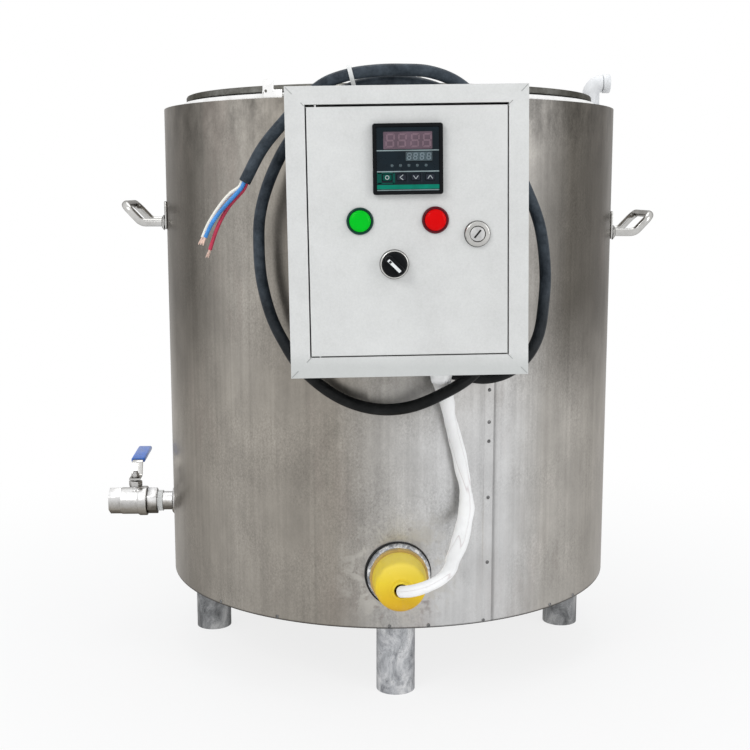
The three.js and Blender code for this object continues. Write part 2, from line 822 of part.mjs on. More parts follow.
function glandNut() {
  const nut = hexagon(glandAcrossFlats, glandTop - stemBossTop - seatGap);
  const hole = rod(stemRadius + runningGap, glandTop * 2, smallSides).translate(0, 0, -overrun);
  return cut(nut, hole).translate(ballX, 0, outletZ + stemBossTop + seatGap);
}

function leverLine() {
  const z = leverFootZ + leverThickness / 2;
  return [
    [-leverFootFront, z], [leverFootBack, z], [leverFootBack + leverRiseRun, z + leverRise],
    [leverLength, z + leverRise + leverClimb],
  ];
}

function placedOnStem(geometry) {
  return geometry.rotateZ(Math.PI / 2).translate(ballX, 0, outletZ);
}

function valveLever() {
  const bar = bentBar(leverLine(), leverBend, leverThickness, leverWidth);
  const hole = rod(stemRadius + seatGap, stemEnd, smallSides).translate(0, 0, leverFootZ - overrun);
  return placedOnStem(cut(bar, hole));
}

function leverNut() {
  const nut = hexagon(leverNutAcrossFlats, leverNutHeight);
  const hole = rod(stemRadius + seatGap, stemEnd, smallSides).translate(0, 0, -overrun);
  return placedOnStem(cut(nut, hole).translate(0, 0, leverFootZ + leverThickness + seatGap));
}

function leverSleeve() {
  const line = leverLine();
  const [bendX, bendZ] = line[2];
  const [endX, endZ] = line[3];
  const slope = Math.atan2(endZ - bendZ, endX - bendX);
  const length = endX + sleeveOvershoot - sleeveStart;
  const outerHeight = leverThickness + seatGap * 2 + sleeveWall * 2;
  const outer = roundedRectangle(outerHeight, leverWidth + seatGap * 2 + sleeveWall * 2, sleeveRound);
  const room = roundedRectangle(leverThickness + seatGap * 2, leverWidth + seatGap * 2, seatGap);
  const shell = slab(outer, length);
  const hollow = slab(room, length).translate(0, 0, -sleeveOvershoot + seatGap * 2);
  const sleeve = cut(shell, hollow).rotateY(Math.PI / 2).rotateY(-slope);
  const startZ = bendZ + (sleeveStart - bendX) * Math.tan(slope);
  return placedOnStem(sleeve.translate(sleeveStart, 0, startZ));
}

// Immersion heater

const socketFrontY = -tankRadius - socketProud;
const plugFrontY = socketFrontY - seatGap - plugThickness;

function heaterSocket() {
  const length = socketProud + socketInside;
  const bevel = socketProud / 4;
  const ring = revolve([
    [socketBore, 0], [socketRadius - bevel, 0], [socketRadius, bevel], [socketRadius, length], [socketBore, length],
  ]);
  return towardsY(ring).translate(0, socketFrontY, heaterZ);
}

function heaterElement() {
  const bolt = socketBore - seatGap;
  const plug = revolve([
    [0, 0], [plugRadius, 0], [plugRadius, plugThickness], [bolt, plugThickness],
    [bolt, plugThickness + plugSpigot], [0, plugThickness + plugSpigot],
  ]);
  const back = plugThickness + plugSpigot;
  const hairpins = Array.from({ length: elementCount }, (_, i) => {
    const half = elementPitch / 2;
    const route = roundedRoute([
      [-half, elementRing, back - overrun], [-half, elementRing, elementLength],
      [half, elementRing, elementLength], [half, elementRing, back - overrun],
    ], half - mergeStep).getPoints(bendSteps);
    const tube = swept(roundSection(elementRadius, elementSides), route);
    return tube.rotateZ((i / elementCount) * Math.PI * 2);
  });
  const terminals = Array.from({ length: elementCount }, (_, i) => {
    const angle = (i / elementCount) * Math.PI * 2;
    const stud = rod(terminalRadius, terminalLength + overrun, 8);
    return stud.translate(elementRing * Math.sin(angle), elementRing * Math.cos(angle), -terminalLength);
  });
  return towardsY(join(plug, ...hairpins, ...terminals)).translate(0, plugFrontY, heaterZ);
}

function heaterCap() {
  const open = capWall;
  const length = capNoseBack + spoutLength;
  const path = [
    [capRadius - open, 0], [capRadius, 0], [capRadius, capRim], [capShoulderRadius, capShoulderBack],
    [capNoseRadius, capNoseBack], [spoutRadius, capNoseBack], [spoutRadius, length],
    [spoutRadius - open, length], [spoutRadius - open, capNoseBack - open],
    [capNoseRadius - open, capNoseBack - open], [capShoulderRadius - open, capShoulderBack - open / 2],
    [capRadius - open, capRim - open / 2],
  ];
  return revolve(path).rotateX(Math.PI / 2).translate(0, plugFrontY - seatGap, heaterZ);
}

// Control box, in its own frame: x across, z up, y from the front face back

const halfDepth = boxDepth / 2;
const boxFront = -halfDepth;
const openingLeft = borderSide - boxWidth / 2;
const openingRight = boxWidth / 2 - borderSide;
const openingTop = boxHeight / 2 - borderTop;
const openingBottom = borderBottom - boxHeight / 2;
const openingWidth = openingRight - openingLeft;
const openingHeight = openingTop - openingBottom;
const openingX = (openingLeft + openingRight) / 2;
const openingZ = (openingTop + openingBottom) / 2;
const doorLeft = openingLeft + doorGapSide;
const doorRight = openingRight - doorGapSide;
const doorTop = openingTop - doorGapTop;
const doorBottom = openingBottom + doorGapBottom;
const doorWidth = doorRight - doorLeft;
const doorHeight = doorTop - doorBottom;
const doorX = (doorLeft + doorRight) / 2;
const doorZ = (doorTop + doorBottom) / 2;
const hingeX = doorLeft + hingeInset;
const hingeY = boxFront + hingeBack;
const boxCentreY = -(tankRadius + boxStandoff + boxDepth / 2);
const boxTilt = THREE.MathUtils.degToRad(boxTiltDegrees);

function boxHole(radius, x, z, depth = overrun * 2, sides = pieceSides) {
  return towardsY(rod(radius, depth, sides)).translate(x, boxFront - overrun, z);
}

function boxCase() {
  const outer = block(boxWidth, boxDepth, boxHeight);
  const room = block(boxWidth - boxWall * 2, boxDepth - boxWall * 2, boxHeight - boxWall * 2);
  const mouth = block(openingWidth, overrun * 2, openingHeight).translate(openingX, boxFront, openingZ);
  const lip = block(openingWidth + boxWall * 2, lipDepth, openingHeight + boxWall * 2);
  lip.translate(openingX, boxFront + lipDepth / 2, openingZ);
  const lipRoom = block(openingWidth, lipDepth * 2, openingHeight).translate(openingX, boxFront + lipDepth / 2, openingZ);
  const pinHole = rod(hingePinRadius + seatGap, boxHeight, smallSides);
  const pinRow = pinHole.translate(hingeX, hingeY, -boxHeight / 2);
  const keep = block(boxWidth, boxDepth, openingHeight + boxWall * 4).translate(openingX, 0, openingZ);
  const pinCut = geometryFrom(solidFrom(pinRow).intersect(solidFrom(keep)));
  const bootHole = bootBore();
  const leadHole = rod(glandInsideRadius + seatGap, overrun * 2).translate(glandLocal.x, glandLocal.y, glandLocal.z - overrun);
  return cut(join(cut(outer, room, mouth), cut(lip, lipRoom)), pinCut, bootHole, leadHole);
}

function boxDoor() {
  const pan = block(doorWidth, doorFlange, doorHeight).translate(doorX, boxFront + doorFlange / 2, doorZ);
  const hollow = block(doorWidth - doorSheet * 2, doorFlange, doorHeight - doorSheet * 2);
  hollow.translate(doorX, boxFront + doorSheet + doorFlange / 2, doorZ);
  const pins = rod(hingePinRadius + runningGap, boxHeight, smallSides).translate(hingeX, hingeY, -boxHeight / 2);
  const window = block(caseSize + seatGap * 2, overrun * 2, caseSize + seatGap * 2);
  window.translate(controllerX, boxFront, controllerZ);
  return cut(
    pan, hollow, pins, window,
    boxHole(lampHole + seatGap, greenLampX, lampZ), boxHole(lampHole + seatGap, redLampX, lampZ),
    boxHole(switchHole + seatGap, switchX, switchZ), boxHole(lockBarrelRadius + seatGap, lockX, lockZ),
  );
}

// A headed pin through the frame's lip and the door's flange; side is +1 at the top
function hingePin(side) {
  const lip = side > 0 ? openingTop : openingBottom;
  const pin = revolve([
    [0, -hingePinLength / 2], [hingePinRadius, -hingePinLength / 2], [hingePinRadius, hingePinLength / 2],
    [hingeHeadRadius, hingePinLength / 2], [hingeHeadRadius, hingePinLength / 2 + hingeHeadHeight],
    [0, hingePinLength / 2 + hingeHeadHeight],
  ], smallSides);
  const seated = side > 0 ? pin : pin.rotateX(Math.PI);
  const shift = boxWall + seatGap - hingePinLength / 2;
  return seated.translate(hingeX, hingeY, lip + side * shift);
}

const plateBack = halfDepth - boxWall - seatGap;
const plateFront = plateBack - plateStandoff - plateThickness;

function mountingPlate() {
  const plate = block(platePlanWidth, plateThickness, platePlanHeight).translate(0, plateFront + plateThickness / 2, 0);
  const [x, z] = [platePlanWidth / 2 - plateBossInset, platePlanHeight / 2 - plateBossInset];
  const bosses = [[-x, -z], [x, -z], [-x, z], [x, z]].map(([bossX, bossZ]) => {
    const boss = towardsY(rod(plateBossRadius, plateStandoff + plateThickness / 2, smallSides));
    return boss.translate(bossX, plateFront + plateThickness / 2, bossZ);
  });
  return join(plate, ...bosses);
}

function mountingRail(width) {
  return block(width, railDepth, railHeight);
}

function contactor() {
  const back = plateFront - seatGap;
  const rail = mountingRail(contactorWidth).translate(0, back - railDepth / 2, 0);
  const body = block(contactorWidth, contactorDepth - railDepth, contactorHeight);
  body.translate(0, back - railDepth / 2 - contactorDepth / 2, 0);
  const steps = [-1, 1].map((side) => {
    const step = block(contactorWidth * 2, contactorStepDepth, contactorStepHeight * 2);
    return step.translate(0, back - contactorDepth + contactorStepDepth / 2 - seatGap, (side * contactorHeight) / 2);
  });
  const crown = block(contactorCrownWidth, contactorCrownDepth * 2, contactorCrownHeight);
  crown.translate(0, back - contactorDepth, 0);
  return cut(join(rail, body, crown), ...steps).translate(contactorX, 0, contactorZ);
}

// Temperature controller

const bezelFront = boxFront - bezelDepth;
const faceFront = bezelFront + faceRecess;
const faceSize = bezelSize - bezelBorder * 2;
const keyXs = [0, 1, 2, 3].map((i) => keyFirstX + i * keyPitch);
const pocketDepth = faceThickness + keyTravel + keyLedgeThickness + runningGap * 2;

function squarePlate(width, height, round, front, thickness) {
  return slab(roundedRectangle(width, height, round), thickness).rotateX(Math.PI / 2).translate(0, front + thickness, 0);
}

function controllerCase() {
  const bezel = squarePlate(bezelSize, bezelSize, bezelRound, bezelFront, bezelDepth - seatGap);
  const body = block(caseSize, caseDepth, caseSize).translate(0, bezelFront + bezelDepth / 2 + caseDepth / 2, 0);
  const pocket = block(faceSize, faceRecess + pocketDepth, faceSize);
  pocket.translate(0, bezelFront + (faceRecess + pocketDepth) / 2 - seatGap, 0);
  const front = block(bezelSize, overrun, bezelSize).translate(0, bezelFront - overrun / 2, 0);
  return cut(join(bezel, body), pocket, front).translate(controllerX, 0, controllerZ);
}

function controllerFace() {
  const face = squarePlate(faceSize - seatGap * 2, faceSize - seatGap * 2, bezelRound / 2, faceFront, faceThickness);
  const upper = block(upperWindowWidth, windowDepth * 2, upperWindowHeight).translate(0, faceFront, upperWindowZ);
  const lower = block(lowerWindowWidth, windowDepth * 2, lowerWindowHeight);
  lower.translate(lowerWindowX, faceFront, lowerWindowZ);
  const holes = keyXs.map((x) => {
    const hole = squarePlate(keyWidth + runningGap * 2, keyHeight + runningGap * 2, keyRound, faceFront - overrun, overrun * 2);
    return hole.translate(x, 0, keyZ);
  });
  return cut(face, upper, lower, ...holes).translate(controllerX, 0, controllerZ);
}

function controllerKey(index) {
  const backOfFace = faceFront + faceThickness + seatGap;
  const cap = squarePlate(keyWidth, keyHeight, keyRound, faceFront - keyProud, keyProud + faceThickness + keyLedgeThickness);
  const ledge = block(keyWidth + keyLedge * 2, keyLedgeThickness, keyHeight + keyLedge * 2);
  ledge.translate(0, backOfFace + keyLedgeThickness / 2, 0);
  return join(cap, ledge).translate(controllerX + keyXs[index], 0, controllerZ + keyZ);
}

// Lamps, switch and lock: revolved about an axis along Y, height counted back from the door's face

function doorRevolve(profile, x, z, sides = pieceSides) {
  return towardsY(revolve(profile, sides)).translate(x, boxFront, z);
}

function lampBody(x) {
  const front = -lampBezelProud - seatGap;
  const seat = -lensBack + seatGap;
  return doorRevolve([
    [0, seat], [lensRadius + seatGap, seat], [lensRadius + seatGap, front], [lampBezelRadius - lampSeatWall, front],
    [lampBezelRadius, front + lampSeatWall], [lampBezelRadius, -seatGap], [lampHole, -seatGap],
    [lampHole, lampBodyDepth], [0, lampBodyDepth],
  ], x, lampZ);
}

function lampLens(x) {
  const dome = new THREE.Path();
  const front = -lampBezelProud - lensProud;
  dome.moveTo(0, front);
  dome.quadraticCurveTo(lensRadius, front, lensRadius, -lampBezelProud);
  dome.lineTo(lensRadius, -lensBack);
  dome.lineTo(0, -lensBack);
  return doorRevolve(dome.getPoints(cornerSteps), x, lampZ);
}

function switchBody() {
  const front = -switchRingProud - seatGap;
  const room = knobRadius + runningGap;
  const ring = doorRevolve([
    [0, -knobSkirt], [room, -knobSkirt], [room, front], [switchRingRadius - switchRingProud / 4, front],
    [switchRingRadius, front + switchRingProud / 4], [switchRingRadius, -seatGap], [switchHole, -seatGap],
    [switchHole, switchBarrel], [0, switchBarrel],
  ], switchX, switchZ);
  const contacts = block(switchBlockSize, switchBlockDepth, switchBlockSize);
  contacts.translate(switchX, boxFront + switchBarrel + switchBlockDepth / 2 - overrun / 2, switchZ);
  return join(ring, contacts);
}

function switchKnob() {
  const back = -knobSkirt - runningGap;
  const disc = doorRevolve([
    [0, back], [knobRadius, back], [knobRadius, back - knobDepth + 1 * knobSkirt],
    [knobRadius - knobSkirt, back - knobDepth], [0, back - knobDepth],
  ], 0, 0);
  const grip = slab(roundedRectangle(knobGripWidth, knobGripLength, knobGripWidth / 2 - mergeStep), knobGripHeight + overrun);
  grip.rotateX(Math.PI / 2).rotateY(-Math.PI / 4).translate(0, boxFront + back - knobDepth + overrun, 0);
  return join(disc, grip).translate(switchX, 0, switchZ);
}

function lockBarrel() {
  const front = -rosetteProud - seatGap;
  const bore = lockPlugRadius + runningGap;
  return doorRevolve([
    [bore, front], [rosetteRadius - rosetteEdge, front], [rosetteRadius, front + rosetteEdge],
    [rosetteRadius, -seatGap], [lockBarrelRadius, -seatGap], [lockBarrelRadius, lockBarrelDepth],
    [bore, lockBarrelDepth],
  ], lockX, lockZ);
}

function lockPlug() {
  const front = -rosetteProud - seatGap + lockPlugRecess;
  const plug = doorRevolve([
    [0, front], [lockPlugRadius, front], [lockPlugRadius, lockBarrelDepth], [0, lockBarrelDepth],
  ], lockX, lockZ);
  const tailLength = camThickness + camTail + overrun;
  const tail = block(camSquare, tailLength, camSquare);
  tail.translate(lockX, boxFront + lockBarrelDepth + tailLength / 2 - overrun, lockZ);
  const slot = block(keySlotWidth, keySlotDepth * 2, keySlotLength).translate(lockX, boxFront + front, lockZ);
  return cut(join(plug, tail), slot);
}

function lockCam() {
  const outline = new THREE.Shape();
  outline.absarc(0, 0, camHead, 0, Math.PI, false);
  outline.lineTo(-camWidth / 2, camHead - camLength);
  outline.lineTo(camWidth / 2, camHead - camLength);
  outline.closePath();
  const plate = slab(outline, camThickness).rotateX(Math.PI / 2).translate(0, camThickness, 0);
  const square = block(camSquare + seatGap * 2, overrun * 2, camSquare + seatGap * 2);
  return cut(plate, square).translate(lockX, boxFront + lockBarrelDepth + seatGap, lockZ);
}

// Brackets between the shell and the box, placed in the tank's frame

const boxBackY = -(tankRadius + boxStandoff);

function boxBracket(halfWidth, top, drop) {
  const front = boxBackY + seatGap;
  const depth = -front - tankRadius + bracketThickness * 4;
  const outer = block(halfWidth * 2, depth, drop).translate(0, front + depth / 2, top - drop / 2);
  const inner = block(halfWidth * 4, boxStandoff - bracketThickness * 2 - seatGap, drop);
  inner.translate(0, front + bracketThickness + (boxStandoff - bracketThickness * 2 - seatGap) / 2, top - bracketThickness - drop / 2);
  const spare = block(halfWidth * 4, depth, drop * 2).translate(0, -tankRadius + bracketThickness + depth / 2, top);
  return cut(outer, inner, spare, tankFront);
}

// Cable boot, slanted down the box's back, and the white lead's gland under the box

const boot = {
  root: new THREE.Vector3(bootX, boxBackY, bootZ),
  along: new THREE.Vector3(0, Math.sin(THREE.MathUtils.degToRad(bootDegrees)), -Math.cos(THREE.MathUtils.degToRad(bootDegrees))),
};
const bootTip = boot.root.clone().addScaledVector(boot.along, bootLength);
const bootTurn = new THREE.Quaternion().setFromUnitVectors(new THREE.Vector3(0, 0, 1), boot.along);

function alongBoot(geometry) {
  return geometry.applyQuaternion(bootTurn).translate(boot.root.x, boot.root.y, boot.root.z);
}

function toBoxFrame(geometry) {
  return geometry.translate(0, -boxCentreY, -boxCentreZ).rotateY(boxTilt);
}

function bootBore() {
  const bore = rod(cableRadius + seatGap, bootLength * 2).translate(0, 0, -bootLength);
  return toBoxFrame(alongBoot(bore));
}

function cableBoot() {
  const sleeve = alongBoot(revolve([
    [0, -bootLength], [bootRootRadius, -bootLength], [bootRootRadius, bootLength / 4],
    [bootTipRadius, bootLength], [0, bootLength],
  ], smallSides));
  const flange = towardsY(rod(bootFlangeRadius, bootFlangeThickness, smallSides));
  flange.translate(bootX, boxBackY + seatGap, bootZ);
  const bore = alongBoot(rod(cableRadius + seatGap, bootLength * 2, smallSides).translate(0, 0, -bootLength));
  const wall = block(boxWidth, boxDepth, boxHeight).translate(0, boxBackY + seatGap - halfDepth, bootZ);
  return cut(join(sleeve, flange), bore, wall);
}

const glandLocal = new THREE.Vector3(glandX, glandY - boxCentreY, -boxHeight / 2);

function leadGland() {
  const bore = leadRadius + seatGap;
  const base = glandHexHeight;
  const hex = hexagon(glandHexAcrossFlats, glandHexHeight - seatGap).translate(0, 0, -glandHexHeight);
  const dome = revolve([
    [0, 0], [glandDomeRadius, 0], [glandDomeRadius, -glandDomeHeight / 2], [bore + seatGap, -glandDomeHeight],
    [0, -glandDomeHeight],
  ]).translate(0, 0, -base);
  const neck = rod(glandInsideRadius, glandInside + glandHexHeight).translate(0, 0, -glandHexHeight);
  const opening = rod(bore, glandInside * 6).translate(0, 0, -glandInside * 3);
  return cut(join(hex, dome, neck), opening).translate(glandLocal.x, glandLocal.y, glandLocal.z);
}

// Filler elbow: a riser from the jacket, a bend and two collars

function fillerElbow() {
  const up = rod(elbowRadius, elbowCollar).translate(0, 0, -elbowReach);
  const across = towardsX(rod(elbowRadius, elbowCollar)).translate(elbowReach - elbowCollar, 0, 0);
  const bend = elbowReach - elbowCollar;
  const throat = roundedRoute([[0, 0, -elbowReach], [0, 0, 0], [elbowReach, 0, 0]], bend + overrun);
  const body = swept(roundSection(elbowThroatRadius, smallSides), throat.getPoints(bendSteps));
  const riser = rod(riserRadius, elbowAxisZ - riserBottomZ - elbowReach + overrun);
  riser.translate(0, 0, riserBottomZ - elbowAxisZ);
  const throatLine = roundedRoute([
    [0, 0, riserBottomZ - elbowAxisZ - overrun], [0, 0, 0], [elbowReach + overrun, 0, 0],
  ], bend + overrun).getPoints(bendSteps);
  const bore = swept(roundSection(riserBore, smallSides), throatLine);
  const mouth = towardsX(rod(elbowBore, elbowCollar)).translate(elbowReach - elbowCollar + seatGap, 0, 0);
  return cut(join(up, across, body, riser), bore, mouth).translate(elbowX, elbowY, elbowAxisZ);
}

// Cords

const cableCurve = smoothRoute([bootTip.clone().addScaledVector(boot.along, cordGap).toArray(), ...cableRoute]);
const leadEnd = [0, plugFrontY - seatGap - capNoseBack - spoutLength - cordGap, heaterZ];
const leadCurve = smoothRoute([leadStart(), ...leadRoute, leadEnd]);

function leadStart() {
  const start = new THREE.Vector3(glandLocal.x, glandLocal.y, glandLocal.z - glandHexHeight - glandDomeHeight - cordGap);
  start.applyAxisAngle(new THREE.Vector3(0, 1, 0), -boxTilt);
  return [start.x, start.y + boxCentreY, start.z + boxCentreZ];
}

function leastSelfGap(curve, radius) {
  const samples = curve.getSpacedPoints(Math.round(curve.getLength() / radius));
  const spacing = curve.getLength() / samples.length;
  const apart = Math.ceil((radius * 8) / spacing);
  let least = Infinity;
  for (let i = 0; i < samples.length; i += 1) {
    for (let j = i + apart; j < samples.length; j += 1) {
      least = Math.min(least, samples[i].distanceTo(samples[j]) - radius * 2);
    }
  }
  return least;
}

function tightestBend(curve, reach) {
  const steps = Math.round(curve.getLength());
  const points = curve.getSpacedPoints(steps);
  let least = Infinity;
  for (let i = reach; i < steps - reach; i += 1) {
    const sides = new THREE.Triangle(points[i - reach], points[i], points[i + reach]);
    const product = points[i].distanceTo(points[i - reach]) * points[i].distanceTo(points[i + reach])
      * points[i + reach].distanceTo(points[i - reach]);
    least = Math.min(least, product / (4 * Math.max(sides.getArea(), mergeStep)));
  }
  return least;
}

// A cord with a section at each small turn of its route, and few along the straights
function cord(curve, radius, sides) {
  const fine = curve.getSpacedPoints(Math.round(curve.getLength()));
  const kept = [fine[0]];
  let from = 0;
  for (let i = 1; i < fine.length - 1; i += 1) {
    const before = fine[from + 1].clone().sub(fine[from]);
    const turned = before.angleTo(fine[i + 1].clone().sub(fine[i]));
    if (turned > cordTurn || fine[i].distanceTo(fine[from]) > cordStretch) {
      kept.push(fine[i]);
      from = i;
    }
  }
  kept.push(fine[fine.length - 1]);
  return swept(roundSection(radius, sides), kept);
}

// A band round the two strands of cable at the top of the loops
function cableTie() {
  const points = cableCurve.getSpacedPoints(Math.round(cableCurve.getLength()));
  const crest = Math.max(...points.map((point) => point.z));
  const nearCrest = (i) => points[i].z > crest - tieSearchDrop;
  const directionAt = (i) => points[i + 1].clone().sub(points[i - 1]).normalize();
  const crossed = points.findIndex((point, i) => i > 0 && nearCrest(i) && points[i - 1].x > tieX && point.x <= tieX);
  const later = points.map((point, i) => i).filter((i) => i > crossed * 2 && nearCrest(i));
  const nearest = later.reduce((best, i) => (
    points[i].distanceTo(points[crossed]) < points[best].distanceTo(points[crossed]) ? i : best));
  const across = points[nearest].clone().sub(points[crossed]);
  const run = directionAt(crossed).add(directionAt(nearest)).projectOnPlane(across.clone().normalize()).normalize();
  const reach = across.length() / 2;
  const loop = (radius) => {
    const shape = new THREE.Shape();
    shape.absarc(reach, 0, radius, -Math.PI / 2, Math.PI / 2, false);
    shape.absarc(-reach, 0, radius, Math.PI / 2, Math.PI * 1.5, false);
    shape.closePath();
    return shape;
  };
  const bore = cableRadius + tieFit;
  const band = slab(loop(bore + tieThickness), tieWidth, tieSteps).translate(0, 0, -tieWidth / 2);
  const room = slab(loop(bore), tieWidth * 2, tieSteps).translate(0, 0, -tieWidth);
  const alongAcross = across.normalize();
  const frame = new THREE.Matrix4().makeBasis(alongAcross, run.clone().cross(alongAcross), run);
  frame.setPosition(points[nearest].clone().add(points[crossed]).multiplyScalar(1 / 2));
  return cut(band, room).applyMatrix4(frame);
}

console.log(`power cable ${cableCurve.getLength().toFixed(0)} mm, least gap to itself `
  + `${leastSelfGap(cableCurve, cableRadius).toFixed(1)} mm, tightest bend `
  + `${tightestBend(cableCurve, Math.round(cableRadius * 2)).toFixed(0)} mm; white lead `
  + `${leadCurve.getLength().toFixed(0)} mm, tightest bend ${tightestBend(leadCurve, Math.round(leadRadius)).toFixed(0)} mm`);

// Assembly

function piece(parent, name, geometry, material) {
  const mesh = new THREE.Mesh(geometry, material);
  mesh.name = name;
  parent.add(mesh);
  return mesh;
}

const boiler = new THREE.Group();
const tank = new THREE.Group();
boiler.add(tank);

piece(tank, 'outer_shell', outerShell(), brushedSteel);
piece(tank, 'base_plate', basePlate(), brushedSteel);
piece(tank, 'inner_pot', innerPot(), polishedSteel);
piece(tank, 'shoulder_ring', shoulderRing(), brushedSteel);
piece(tank, 'leg_front', leg(), pipeSteel).position.set(0, -legY, 0);
piece(tank, 'leg_back', leg(), pipeSteel).position.set(0, legY, 0);
piece(tank, 'leg_left', leg(), pipeSteel).position.set(-legX, 0, 0);
piece(tank, 'leg_right', leg(), pipeSteel).position.set(legX, 0, 0);
piece(tank, 'handle_right', sideHandle(rightHandleZ), polishedSteel);
piece(tank, 'handle_left', sideHandle(leftHandleZ), polishedSteel).rotation.z = Math.PI;
piece(tank, 'filler_elbow', fillerElbow(), whitePlastic);

const lidGroup = new THREE.Group();
tank.add(lidGroup);
piece(lidGroup, 'lid', lid(), brushedSteel);
piece(lidGroup, 'lid_gasket', lidGasket(), blackRubber);
piece(lidGroup, 'lid_handle', lidHandle(), polishedSteel);

const valve = new THREE.Group();
tank.add(valve);
piece(valve, 'outlet_pipe', outletPipe(), castSteel);
piece(valve, 'thread_tape', threadTape(), whitePlastic);
piece(valve, 'valve_body', valveBody(), castSteel);
piece(valve, 'valve_end_cap', valveEndCap(), castSteel);
piece(valve, 'valve_ball', valveBall(), polishedSteel);
piece(valve, 'valve_seat_outer', valveSeat(-1), whitePlastic);
piece(valve, 'valve_seat_inner', valveSeat(1), whitePlastic);
piece(valve, 'valve_stem', valveStem(), castSteel);
piece(valve, 'valve_gland_nut', glandNut(), castSteel);
piece(valve, 'valve_lever', valveLever(), castSteel);
piece(valve, 'lever_nut', leverNut(), castSteel);
piece(valve, 'lever_sleeve', leverSleeve(), bluePlastic);

const heater = new THREE.Group();
tank.add(heater);
piece(heater, 'heater_socket', heaterSocket(), castSteel);
piece(heater, 'heater_element', heaterElement(), brass);
piece(heater, 'heater_cap', heaterCap(), yellowPlastic);

const controlBox = new THREE.Group();
controlBox.position.set(0, boxCentreY, boxCentreZ);
controlBox.rotation.y = -boxTilt;
tank.add(controlBox);
piece(controlBox, 'box_case', boxCase(), boxPaint);
piece(controlBox, 'box_door', boxDoor(), boxPaint);
piece(controlBox, 'hinge_pin_upper', hingePin(1), castSteel);
piece(controlBox, 'hinge_pin_lower', hingePin(-1), castSteel);
piece(controlBox, 'mounting_plate', mountingPlate(), castSteel);
piece(controlBox, 'contactor', contactor(), blackPlastic);
piece(controlBox, 'controller_case', controllerCase(), blackPlastic);
piece(controlBox, 'controller_face', controllerFace(), darkFace);
['key_set', 'key_shift', 'key_down', 'key_up'].forEach((name, i) => {
  piece(controlBox, name, controllerKey(i), blackPlastic);
});
piece(controlBox, 'lamp_green', lampBody(greenLampX), greenPlastic);
piece(controlBox, 'lens_green', lampLens(greenLampX), greenPlastic);
piece(controlBox, 'lamp_red', lampBody(redLampX), redPlastic);
piece(controlBox, 'lens_red', lampLens(redLampX), redPlastic);
piece(controlBox, 'switch_body', switchBody(), castSteel);
piece(controlBox, 'switch_knob', switchKnob(), blackPlastic);
piece(controlBox, 'lock_barrel', lockBarrel(), polishedSteel);
piece(controlBox, 'lock_plug', lockPlug(), polishedSteel);
piece(controlBox, 'lock_cam', lockCam(), castSteel);
piece(controlBox, 'lead_gland', leadGland(), blackPlastic);

piece(tank, 'bracket_upper', boxBracket(upperBracketHalfWidth, upperBracketTop, upperBracketDrop), pipeSteel);
piece(tank, 'bracket_lower', boxBracket(lowerBracketHalfWidth, lowerBracketTop, lowerBracketDrop), pipeSteel);
piece(tank, 'cable_boot', cableBoot(), blackRubber);
piece(tank, 'power_cable', cord(cableCurve, cableRadius, cableSides), cableRubber);
piece(tank, 'core_white', cord(smoothRoute(whiteCoreRoute), coreRadius, coreSides), whitePlastic);
piece(tank, 'core_blue', cord(smoothRoute(blueCoreRoute), coreRadius, coreSides), bluePlastic);
piece(tank, 'core_red', cord(smoothRoute(redCoreRoute), coreRadius, coreSides), redPlastic);
piece(tank, 'cable_tie', cableTie(), whitePlastic);
piece(tank, 'heater_lead', cord(leadCurve, leadRadius, leadSides), whiteCloth);

// The origin goes to the middle of the footprint: from the valve's end to the right
// handle's outer side, and from the switch knob's grip to the back of the shell
const rightmost = tankRadius + handleReach + handleOutreach + handleBarThickness / 2;
const knobGripFront = knobSkirt + runningGap + knobDepth + knobGripHeight;
const frontmost = boxCentreY + boxFront - knobGripFront;
tank.position.set(-(valveEndX + rightmost) / 2, -(frontmost + tankRadius) / 2, 0);

export default boiler;
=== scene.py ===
import json
import math

import bmesh
import bpy
from mathutils import Matrix, Vector


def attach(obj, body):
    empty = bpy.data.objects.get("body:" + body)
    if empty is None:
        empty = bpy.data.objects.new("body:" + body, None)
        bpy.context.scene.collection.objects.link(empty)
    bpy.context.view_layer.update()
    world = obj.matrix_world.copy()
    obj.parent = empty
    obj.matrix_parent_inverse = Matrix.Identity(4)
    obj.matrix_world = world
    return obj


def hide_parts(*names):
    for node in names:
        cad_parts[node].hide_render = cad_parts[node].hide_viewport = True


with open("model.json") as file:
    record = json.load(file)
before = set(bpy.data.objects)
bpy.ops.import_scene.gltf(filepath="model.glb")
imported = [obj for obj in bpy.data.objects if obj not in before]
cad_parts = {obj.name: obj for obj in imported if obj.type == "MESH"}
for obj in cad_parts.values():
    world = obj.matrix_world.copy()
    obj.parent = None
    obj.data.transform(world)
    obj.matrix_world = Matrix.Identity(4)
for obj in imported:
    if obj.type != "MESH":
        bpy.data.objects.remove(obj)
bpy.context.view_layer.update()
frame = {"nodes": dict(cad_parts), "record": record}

# Places: pieces are drawn in millimetres about the tank's axis or the box's middle

MILLIMETRE = 0.001
AXIS_X, AXIS_Y = 16.5, 98.45
FULL_TURN = math.radians(360)
BODY_OF = {node: body for body, nodes in frame["record"]["behaviour"]["bodies"].items() for node in nodes}


def at(x, y, z):
    return Matrix.Translation((x, y, z))


def turn(degrees, axis):
    return Matrix.Rotation(math.radians(degrees), 4, axis)


TANK = Matrix.Scale(MILLIMETRE, 4) @ at(AXIS_X, AXIS_Y, 0)
BOX_MIDDLE, BOX_LEAN = at(0, -417, 598), turn(-0.88, "Y")
BOX = TANK @ BOX_MIDDLE @ BOX_LEAN
ALONG_X = turn(90, "Y")
ALONG_Y = turn(-90, "X")


def linked(name, data):
    """A new object in the scene."""
    made = bpy.data.objects.new(name, data)
    bpy.context.scene.collection.objects.link(made)
    return made


